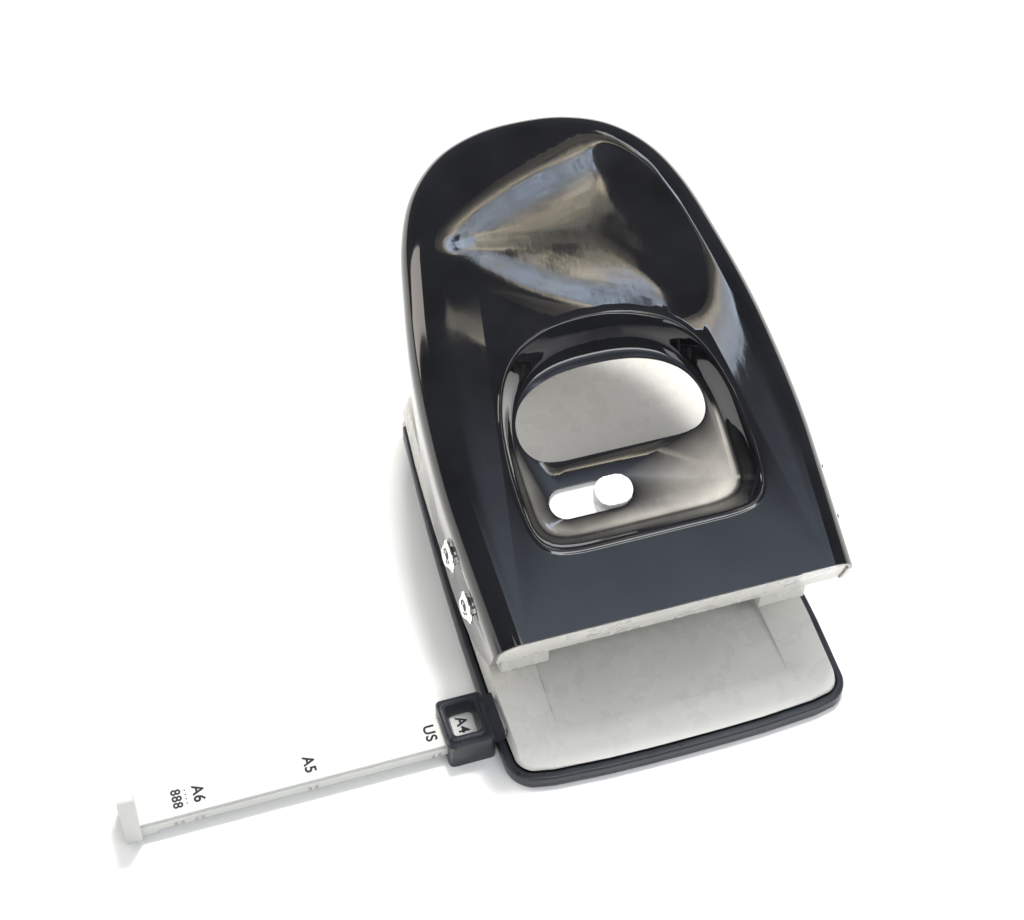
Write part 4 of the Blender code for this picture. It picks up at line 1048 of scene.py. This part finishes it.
class PUNCH_OT_base_tray(bpy.types.Operator):
    """Anthracite bottom that stands out round the base, with its rounded rim"""

    bl_idname = "punch.base_tray"
    bl_label = "Base tray"

    def execute(self, context):
        tray = lofted("base_tray", [
            (base_ring(0.55, 75, 12), 0.0), (base_ring(0.16, 75, 12), 0.18),
            (base_ring(0.0, 75, 12), 0.55), (base_ring(0.0, 75, 12), 3.5),
            (base_ring(0.14, 75, 12), 4.0), (base_ring(0.45, 75, 12), 4.32),
            (base_ring(0.9, 75, 12), 4.47), (base_ring(1.5, 75, 12), 4.5),
        ])
        cutters = [
            lofted("inside", [(base_ring(2.0, 75, 12), 1.8), (base_ring(2.0, 75, 12), 9.0)]),
            block("end", (-90, 60, -10), (90, 99, 20)),
            block("hatch", (-38.6, 9.7, -10), (38.6, 70, 10)),
            block("passage", (-61, -55.6, 1.8), (-42.6, -44.4, 20)),
        ]
        for x, y in SCREWS:
            cutters.append(rod("hole", (x, y, -5), (x, y, 5), 1.9, 32))
            cutters.append(rod("seat", (x, y, -5), (x, y, 1.0), 3.3, 32))
        for x, y in PADS:
            cutters.append(rod("pad", (x, y, -5), (x, y, 1.0), 5.3, 40))
        boolean(tray, cutters)
        bosses = []
        sockets = []
        for sign in (-1, 1):
            x0, x1 = sorted((sign * 38.9, sign * 43))
            bosses.append(block("boss", (x0, 55.2, 0.9), (x1, 59.8, 4.4)))
            sockets.append(rod("socket", (sign * 37, 57.5, 2.6), (sign * 42, 57.5, 2.6), 1.3, 24))
        boolean(tray, bosses, "UNION")
        boolean(tray, sockets)
        bevel_edges(tray, 0.35, 2, 50, lambda c: c.y > 58 and abs(c.x) > 43.5)
        complete(tray, "base", once("rim_plastic", rim_plastic), ("base_rim",), 32)
        return {"FINISHED"}


# ---------------------------------------------------------------- format bar


class PUNCH_OT_bar_guide(bpy.types.Operator):
    """Black guide block with its framed window over the format bar"""

    bl_idname = "punch.bar_guide"
    bl_label = "Bar guide"

    def execute(self, context):
        x0, x1, y0, y1 = -64.15, -50.95, -58.0, -42.0
        guide = lofted("bar_guide", [
            (rounded((x0, y0), (x1, y1), 1.5), 0.0),
            (rounded((x0, y0), (x1, y1), 1.5), 9.3),
            (rounded((x0 + 0.3, y0 + 0.3), (x1 - 0.3, y1 - 0.3), 1.4), 9.75),
            (rounded((x0 + 0.9, y0 + 0.9), (x1 - 0.9, y1 - 0.9), 1.2), 9.95),
        ])
        cx, cy = -58.15, -50.0
        collar = lofted("collar", [
            (rounded((cx - 5.3, cy - 6.4), (cx + 5.3, cy + 6.4), 1.9), 8.6),
            (rounded((cx - 5.3, cy - 6.4), (cx + 5.3, cy + 6.4), 1.9), 10.35),
            (rounded((cx - 5.0, cy - 6.1), (cx + 5.0, cy + 6.1), 1.8), 10.8),
            (rounded((cx - 4.6, cy - 5.7), (cx + 4.6, cy + 5.7), 1.6), 10.98),
        ])
        neck = block("neck", (x1 - 1, -56.6, 4.9), (-48.15, -43.4, 9.3))
        boolean(guide, [collar, neck], "UNION")
        cutters = [
            block("channel", (x0 - 5, -55.3, 2.3), (x1 + 5, -44.7, 7.1)),
            lofted("window", [
                (rounded((cx - 3.3, cy - 3.7), (cx + 3.3, cy + 3.7), 1.1), 6.0),
                (rounded((cx - 3.3, cy - 3.7), (cx + 3.3, cy + 3.7), 1.1), 8.1),
                (rounded((cx - 3.75, cy - 4.3), (cx + 3.75, cy + 4.3), 1.3), 9.3),
                (rounded((cx - 4.35, cy - 5.25), (cx + 4.35, cy + 5.25), 1.6), 11.4),
            ]),
            block("leaf_pocket", (x0 + 2, -56.8, 2.3), (x1 - 2, -55, 6.0)),
        ]
        boolean(guide, cutters)
        bevel_edges(guide, 0.22, 2, 40)
        complete(guide, "base", once("rim_plastic", rim_plastic), ("guide_head",))
        return {"FINISHED"}


class PUNCH_OT_format_bar(bpy.types.Operator):
    """Off-white bar with its detent notches, sheet stop and printed sheet formats"""

    bl_idname = "punch.format_bar"
    bl_label = "Format bar"

    def execute(self, context):
        x_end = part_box("format_bar")[1][0] / MM
        bar = block("format_rule", (-150, -55, 2.6), (x_end, -45, 6.8))
        turn = Matrix(((0, 0, 1, 0), (1, 0, 0, 0), (0, 1, 0, 0), (0, 0, 0, 1)))
        stop = slab("stop", rounded((-56.1, 0.5), (-43.9, 22.5), 1.4), -153, -148.6, None, turn)
        foot = block("foot", (-149, -55, 1.2), (-144.2, -45, 4))
        cutters = [
            block("step", (-148.5, -56, 5.7), (x_end + 5, -54.55, 8)),
            block("under", (-140, -53.4, 0), (x_end - 4, -46.6, 5.2)),
        ]
        boolean(bar, cutters)
        boolean(bar, [stop, foot], "UNION")
        notches = []
        for x in (-138.5, -132.9, -101.9, -67.2):
            for shift in (-0.9, 0.9):
                middle = x + shift
                notches.append(
                    block("notch", (middle - 0.45, -56, 2.0), (middle + 0.45, -54.4, 4.5)))
        boolean(bar, notches)
        bevel_edges(bar, 0.3, 3, 50, lambda c: c.x < -148)
        bevel_edges(bar, 0.12, 2, 50, lambda c: c.x > -148)
        complete(bar, "bar", once("bar_plastic", bar_plastic), ("format_bar",))
        height = sizes().letter_height / MM
        marks = [("A4", -58.4, height), ("US", -67.7, height), ("A5", -101.6, height),
                 ("A6", -132.0, height), ("888", -137.9, height * 0.86)]
        for text, x, size in marks:
            self.letter(text, x, size)
        for k in range(4):
            y = mix(-47.6, -51.6, k / 3)
            dot = rod(f"format_dot_{k + 1}", (-135.3, y, 6.79), (-135.3, y, 6.83), 0.22, 16)
            complete(dot, "bar", once("print_ink", ink), ())
        return {"FINISHED"}

    @staticmethod
    def letter(text, x, size):
        face = bpy.data.curves.new(f"format_{text}", "FONT")
        face.body = text
        face.size = size / 0.72
        face.offset = 0.035 * size
        face.extrude = 0.02
        face.space_character = 1.08
        face.align_x = "CENTER"
        face.align_y = "CENTER"
        face.resolution_u = 6
        holder = bpy.data.objects.new(f"format_{text}", face)
        bpy.context.scene.collection.objects.link(holder)
        graph = bpy.context.evaluated_depsgraph_get()
        mesh = bpy.data.meshes.new_from_object(holder.evaluated_get(graph), depsgraph=graph)
        bpy.data.objects.remove(holder, do_unlink=True)
        bm = bmesh.new()
        bm.from_mesh(mesh)
        bpy.data.meshes.remove(mesh)
        bmesh.ops.remove_doubles(bm, verts=bm.verts, dist=0.001)
        bmesh.ops.rotate(bm, cent=(0, 0, 0), matrix=Matrix.Rotation(-math.pi / 2, 3, "Z"),
                         verts=bm.verts)
        bmesh.ops.translate(bm, vec=(x, -49.6, 6.815), verts=bm.verts)
        bmesh.ops.recalc_face_normals(bm, faces=bm.faces)
        mark = shape(f"format_mark_{text}", bm)
        complete(mark, "bar", once("print_ink", ink), ())


# ---------------------------------------------------------------- small pieces


def softened(node, name, body, finish, width, segments=2, angle=40):
    """A copy of a CAD solid with its sharp edges rounded, standing for that solid."""
    bm = bmesh.new()
    bm.from_mesh(NODES[node].data)
    bmesh.ops.remove_doubles(bm, verts=bm.verts, dist=1e-6)
    bmesh.ops.dissolve_limit(bm, angle_limit=math.radians(0.5), verts=bm.verts, edges=bm.edges)
    bmesh.ops.scale(bm, vec=(1 / MM, 1 / MM, 1 / MM), verts=bm.verts)
    obj = shape(name, bm)
    bevel_edges(obj, width, segments, angle)
    return complete(obj, body, finish, (node,))


class PUNCH_OT_mechanism(bpy.types.Operator):
    """Steel frame, housings, punches, springs, screws, hatch and pads"""

    bl_idname = "punch.mechanism"
    bl_label = "Mechanism"

    def execute(self, context):
        steel = once("zinc_plate", zinc)
        plastic = once("body_plastic", body_plastic)
        black = once("rim_plastic", rim_plastic)
        softened("chassis", "steel_frame", "base", steel, 0.18, 2, 50)
        softened("lock_catch", "catch_hook", "base", steel, 0.2, 2)
        softened("chip_hatch", "chip_flap", "hatch", black, 0.3, 2, 50)
        for side, _ in SIDES:
            softened(f"punch_housing_{side}", f"punch_nose_{side}", "base", plastic,
                     0.5, 3, 50)
            set_finish(f"guide_bush_{side}", steel)
            set_finish(f"punch_pin_{side}", once("bright_nickel", nickel))
            set_finish(f"spring_clip_{side}", once("spring_steel", spring_steel))
            self.coil(side)
        for node in NODES:
            if node.startswith(("base_screw", "chassis_screw")):
                self.cross_head(node, steel)
            if node.startswith("pad_"):
                softened(node, f"rubber_{node}", "base", once("pad_rubber", rubber), 0.2)
        set_finish("hatch_pin", steel)
        set_finish("bar_detent", once("spring_steel", spring_steel))
        return {"FINISHED"}

    @staticmethod
    def coil(side):
        """Return spring of a punch, copied from the CAD coil into a mesh of its own."""
        node = f"return_spring_{side}"
        bm = bmesh.new()
        bm.from_mesh(NODES[node].data)
        bmesh.ops.remove_doubles(bm, verts=bm.verts, dist=1e-6)
        bmesh.ops.recalc_face_normals(bm, faces=bm.faces)
        bmesh.ops.scale(bm, vec=(1 / MM, 1 / MM, 1 / MM), verts=bm.verts)
        spring = shape(f"coil_{side}", bm)
        complete(spring, "base", once("spring_steel", spring_steel), (node,))
        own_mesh(spring)

    @staticmethod
    def cross_head(node, steel):
        """Screw with a cross recess in its head."""
        low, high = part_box(node)
        x, y = (low[0] + high[0]) / 2 / MM, (low[1] + high[1]) / 2 / MM
        z0, z1 = low[2] / MM, high[2] / MM
        if node.startswith("base"):
            profile = [(0, z1), (1.45, z1), (1.5, z1 - 0.3), (1.5, z0 + 0.45), (2.7, z0 + 0.4),
                       (3.0, z0 + 0.25), (2.7, z0 + 0.03), (0, z0)]
            cut = (z0 - 1, z0 + 0.3)
        else:
            profile = [(0, z1), (1.4, z1 - 0.06), (2.5, z1 - 0.55), (2.95, z1 - 1.3),
                       (2.9, z1 - 1.4), (1.5, z1 - 1.4), (1.5, z0 + 0.4), (1.2, z0), (0, z0)]
            cut = (z1 - 0.7, z1 + 1)
        screw = spun(f"cross_{node}", profile, (x, y, 0), "Z", 32)
        arms = [block("arm", (x - 1.5, y - 0.3, cut[0]), (x + 1.5, y + 0.3, cut[1])),
                block("arm", (x - 0.3, y - 1.5, cut[0]), (x + 0.3, y + 1.5, cut[1]))]
        boolean(screw, arms)
        complete(screw, "base", steel, (node,))


# ---------------------------------------------------------------- stage


def cloth(name):
    """White cloth: plain weave seen as a fine bump."""
    finish = Finish(name, roughness=0.85)
    patches = finish.spread(finish.noise(6, 3), 0, 1)
    finish.paint(finish.shade((0.86, 0.86, 0.855), (0.84, 0.835, 0.83), patches))
    finish.bump(finish.noise(1400, 2, (1, 0.25, 1)), 0.08 * MM, 0.5)
    return finish.material


def reflector(name, height, columns, colours_across, strength):
    """A hung card whose colour runs across it, from columns of points side by side."""
    bm = bmesh.new()
    across = bm.verts.layers.float.new("across")
    station = bm.verts.layers.int.new("station")
    first = []
    for i, point in enumerate(columns[0][1]):
        vert = bm.verts.new((point[0], point[1], height))
        vert[station] = i
        vert[across] = columns[0][0]
        first.append(vert)
    edges = [bm.edges.new((a, b)) for a, b in zip(first, first[1:])]
    for share, points in columns[1:]:
        made = bmesh.ops.extrude_edge_only(bm, edges=edges)["geom"]
        for vert in made:
            if isinstance(vert, bmesh.types.BMVert):
                vert.co = (*points[vert[station]][:2], height)
                vert[across] = share
        edges = [e for e in made if isinstance(e, bmesh.types.BMEdge)
                 and all(abs(v[across] - share) < 1e-5 for v in e.verts)]
    bmesh.ops.recalc_face_normals(bm, faces=bm.faces)
    mesh = bpy.data.meshes.new(name)
    bm.to_mesh(mesh)
    bm.free()
    obj = bpy.data.objects.new(name, mesh)
    bpy.context.scene.collection.objects.link(obj)
    finish = Finish(f"{name}_glow", roughness=1.0)
    finish.shader.inputs["Base Color"].default_value = (0, 0, 0, 1)
    finish.shader.inputs["Emission Strength"].default_value = strength
    ramp = finish.add("ShaderNodeValToRGB")
    elements = ramp.color_ramp.elements
    while len(elements) < len(colours_across):
        elements.new(0.5)
    for element, (share, colour) in zip(elements, colours_across):
        element.position = share
        element.color = (*colour, 1)
    value = finish.add("ShaderNodeAttribute", attribute_name="across").outputs["Fac"]
    finish.link(value, ramp.inputs["Fac"])
    finish.link(ramp.outputs["Color"], finish.shader.inputs["Emission Color"])
    mesh.materials.append(finish.material)


def seen_in_top(x, s, slope_x, slope_s, height):
    """Where the camera's view lands at a height after the handle's upper face mirrors it."""
    point = HANDLE @ Vector((x * MM, (s - PIVOT_FROM_FRONT) * MM, TOP * MM))
    normal = (HANDLE.to_3x3() @ Vector((slope_x, slope_s, 1))).normalized()
    ray = (point - EYE).normalized().reflect(normal)
    return point + ray * ((height - point.z) / ray.z)


def dish_reflector(height):
    """Card placed so that the dish mirrors it as two bands that follow the dish's edge."""
    palm = Dish()
    depth = sizes().dish_depth / MM
    path = [p for p in palm.edge if p.x < 20 and p.y > 82]
    columns = []
    for q in (4.6, 7, 10, 14, 18, 23, 30):
        points = []
        for a, b in zip(path, path[2:]):
            along = (b - a).normalized()
            x, s = (a + b) / 2 + Vector((-along.y, along.x)) * q
            slope_x = (palm.height(x - 1, s) - palm.height(x + 1, s)) * depth / 2
            slope_s = (palm.height(x, s - 1) - palm.height(x, s + 1)) * depth / 2
            points.append(seen_in_top(x, s, slope_x, slope_s, height))
        columns.append(((q - 4.6) / 25.4, points))
    power = 14
    cool, warm = (0.48, 0.56, 0.69), (0.58, 0.51, 0.40)
    room = tinted(ROOM, 1 / power)
    ramp = [(0.0, room), (0.05, (0.16, 0.19, 0.23)), (0.10, cool), (0.19, tinted(cool, 0.85)),
            (0.28, (0.13, 0.125, 0.11)), (0.36, warm), (0.43, tinted(warm, 0.9)),
            (0.54, (0.20, 0.19, 0.15)), (0.75, (0.10, 0.094, 0.076)), (1.0, room)]
    reflector("dish_card", height, columns, ramp, power)


def area_light(name, place, aim, size, power, colour=(1, 1, 1), glossy=True):
    lamp = bpy.data.lights.new(name, "AREA")
    lamp.shape = "RECTANGLE"
    lamp.size, lamp.size_y = size
    lamp.energy = power
    lamp.color = colour
    obj = bpy.data.objects.new(name, lamp)
    obj.location = place
    obj.rotation_euler = (Vector(aim) - Vector(place)).to_track_quat("-Z", "Y").to_euler()
    obj.visible_glossy = glossy
    bpy.context.scene.collection.objects.link(obj)
    return obj


class PUNCH_OT_stage(bpy.types.Operator):
    """Pale cloth floor, soft studio lights and the camera"""

    bl_idname = "punch.stage"
    bl_label = "Stage"

    def execute(self, context):
        bm = bmesh.new()
        bmesh.ops.create_grid(bm, x_segments=8, y_segments=8, size=4.0)
        mesh = bpy.data.meshes.new("floor")
        bm.to_mesh(mesh)
        bm.free()
        floor = bpy.data.objects.new("floor", mesh)
        context.scene.collection.objects.link(floor)
        mesh.materials.append(cloth("white_cloth"))
        world = bpy.data.worlds.new("studio")
        world.use_nodes = True
        background = world.node_tree.nodes["Background"]
        background.inputs["Color"].default_value = (*ROOM, 1)
        background.inputs["Strength"].default_value = 1.0
        context.scene.world = world
        area_light("key", (0.27, 0.63, 2.10), (0, 0, 0), (0.34, 0.30), 52, (1.0, 0.985, 0.95), False)
        area_light("overhead", (0, 0.3, 2.0), (0, 0, 0), (2.4, 2.4), 21, (1.0, 0.99, 0.97), False)
        area_light("rear_fill", (-1.6, 1.0, 1.1), (0, 0, 0.02), (0.3, 2.0), 9, (1.0, 0.92, 0.84))
        area_light("front_fill", (-1.1, -1.5, 1.25), (0, 0, 0.02), (0.6, 1.6), 8, (0.95, 0.98, 1.0))
        area_light("low_rear", (0.1, 1.8, 0.6), (0, 0, 0.02), (2.0, 0.8), 11, (1, 0.98, 0.94), False)
        area_light("right_fill", (1.7, 0.1, 0.9), (0, 0, 0.02), (1.8, 1.0), 7, (1, 0.98, 0.95), False)
        dish_reflector(DISH_CARD_HEIGHT)
        columns = [(k / 10, [(x, 0.06 - 0.10 * k) for x in (-0.2, 0.2, 0.5, 0.9)])
                   for k in range(11)]
        ramp = [(0.0, ROOM), (0.07, ROOM), (0.5, (0.95, 1.1, 1.35)), (0.64, (1.2, 1.3, 1.5)),
                (0.74, (7, 7, 7)), (1.0, (7, 7, 7))]
        reflector("front_card", FRONT_CARD_HEIGHT, columns, ramp, 1.0)
        camera = bpy.data.cameras.new("camera")
        camera.sensor_width = 36
        camera.lens = LENS
        camera.clip_start = 0.01
        camera.clip_end = 20
        holder = bpy.data.objects.new("camera", camera)
        back = VIEW_RIGHT.cross(VIEW_UP).normalized()
        up = back.cross(VIEW_RIGHT).normalized()
        turn = Matrix((VIEW_RIGHT.normalized(), up, back)).transposed().to_4x4()
        holder.matrix_world = Matrix.Translation(EYE) @ turn
        context.scene.collection.objects.link(holder)
        context.scene.camera = holder
        context.scene.view_settings.view_transform = "Standard"
        return {"FINISHED"}


# ---------------------------------------------------------------- add-on


class PUNCH_PT_panel(bpy.types.Panel):
    """Hole punch builder"""

    bl_idname = "PUNCH_PT_panel"
    bl_label = "Hole Punch"
    bl_space_type = "VIEW_3D"
    bl_region_type = "UI"
    bl_category = "Hole Punch"

    def draw(self, context):
        for group in (context.scene.punch_sizes, context.scene.punch_colours):
            for name in group.__annotations__:
                self.layout.prop(group, name)
        for operator in OPERATORS:
            self.layout.operator(operator.bl_idname)


OPERATORS = (
    PUNCH_OT_handle, PUNCH_OT_front_liner, PUNCH_OT_axle_caps, PUNCH_OT_lock_slider,
    PUNCH_OT_base_cover, PUNCH_OT_base_tray, PUNCH_OT_bar_guide, PUNCH_OT_format_bar,
    PUNCH_OT_mechanism, PUNCH_OT_stage,
)
CLASSES = (PunchSizes, PunchColours, *OPERATORS, PUNCH_PT_panel)


def register():
    for cls in CLASSES:
        bpy.utils.register_class(cls)
    bpy.types.Scene.punch_sizes = PointerProperty(type=PunchSizes)
    bpy.types.Scene.punch_colours = PointerProperty(type=PunchColours)


def unregister():
    del bpy.types.Scene.punch_colours
    del bpy.types.Scene.punch_sizes
    for cls in reversed(CLASSES):
        bpy.utils.unregister_class(cls)


def main():
    register()
    bpy.ops.punch.handle()
    bpy.ops.punch.front_liner()
    bpy.ops.punch.axle_caps()
    bpy.ops.punch.lock_slider()
    bpy.ops.punch.base_cover()
    bpy.ops.punch.base_tray()
    bpy.ops.punch.bar_guide()
    bpy.ops.punch.format_bar()
    bpy.ops.punch.mechanism()
    bpy.ops.punch.stage()


if __name__ == "__main__":
    main()
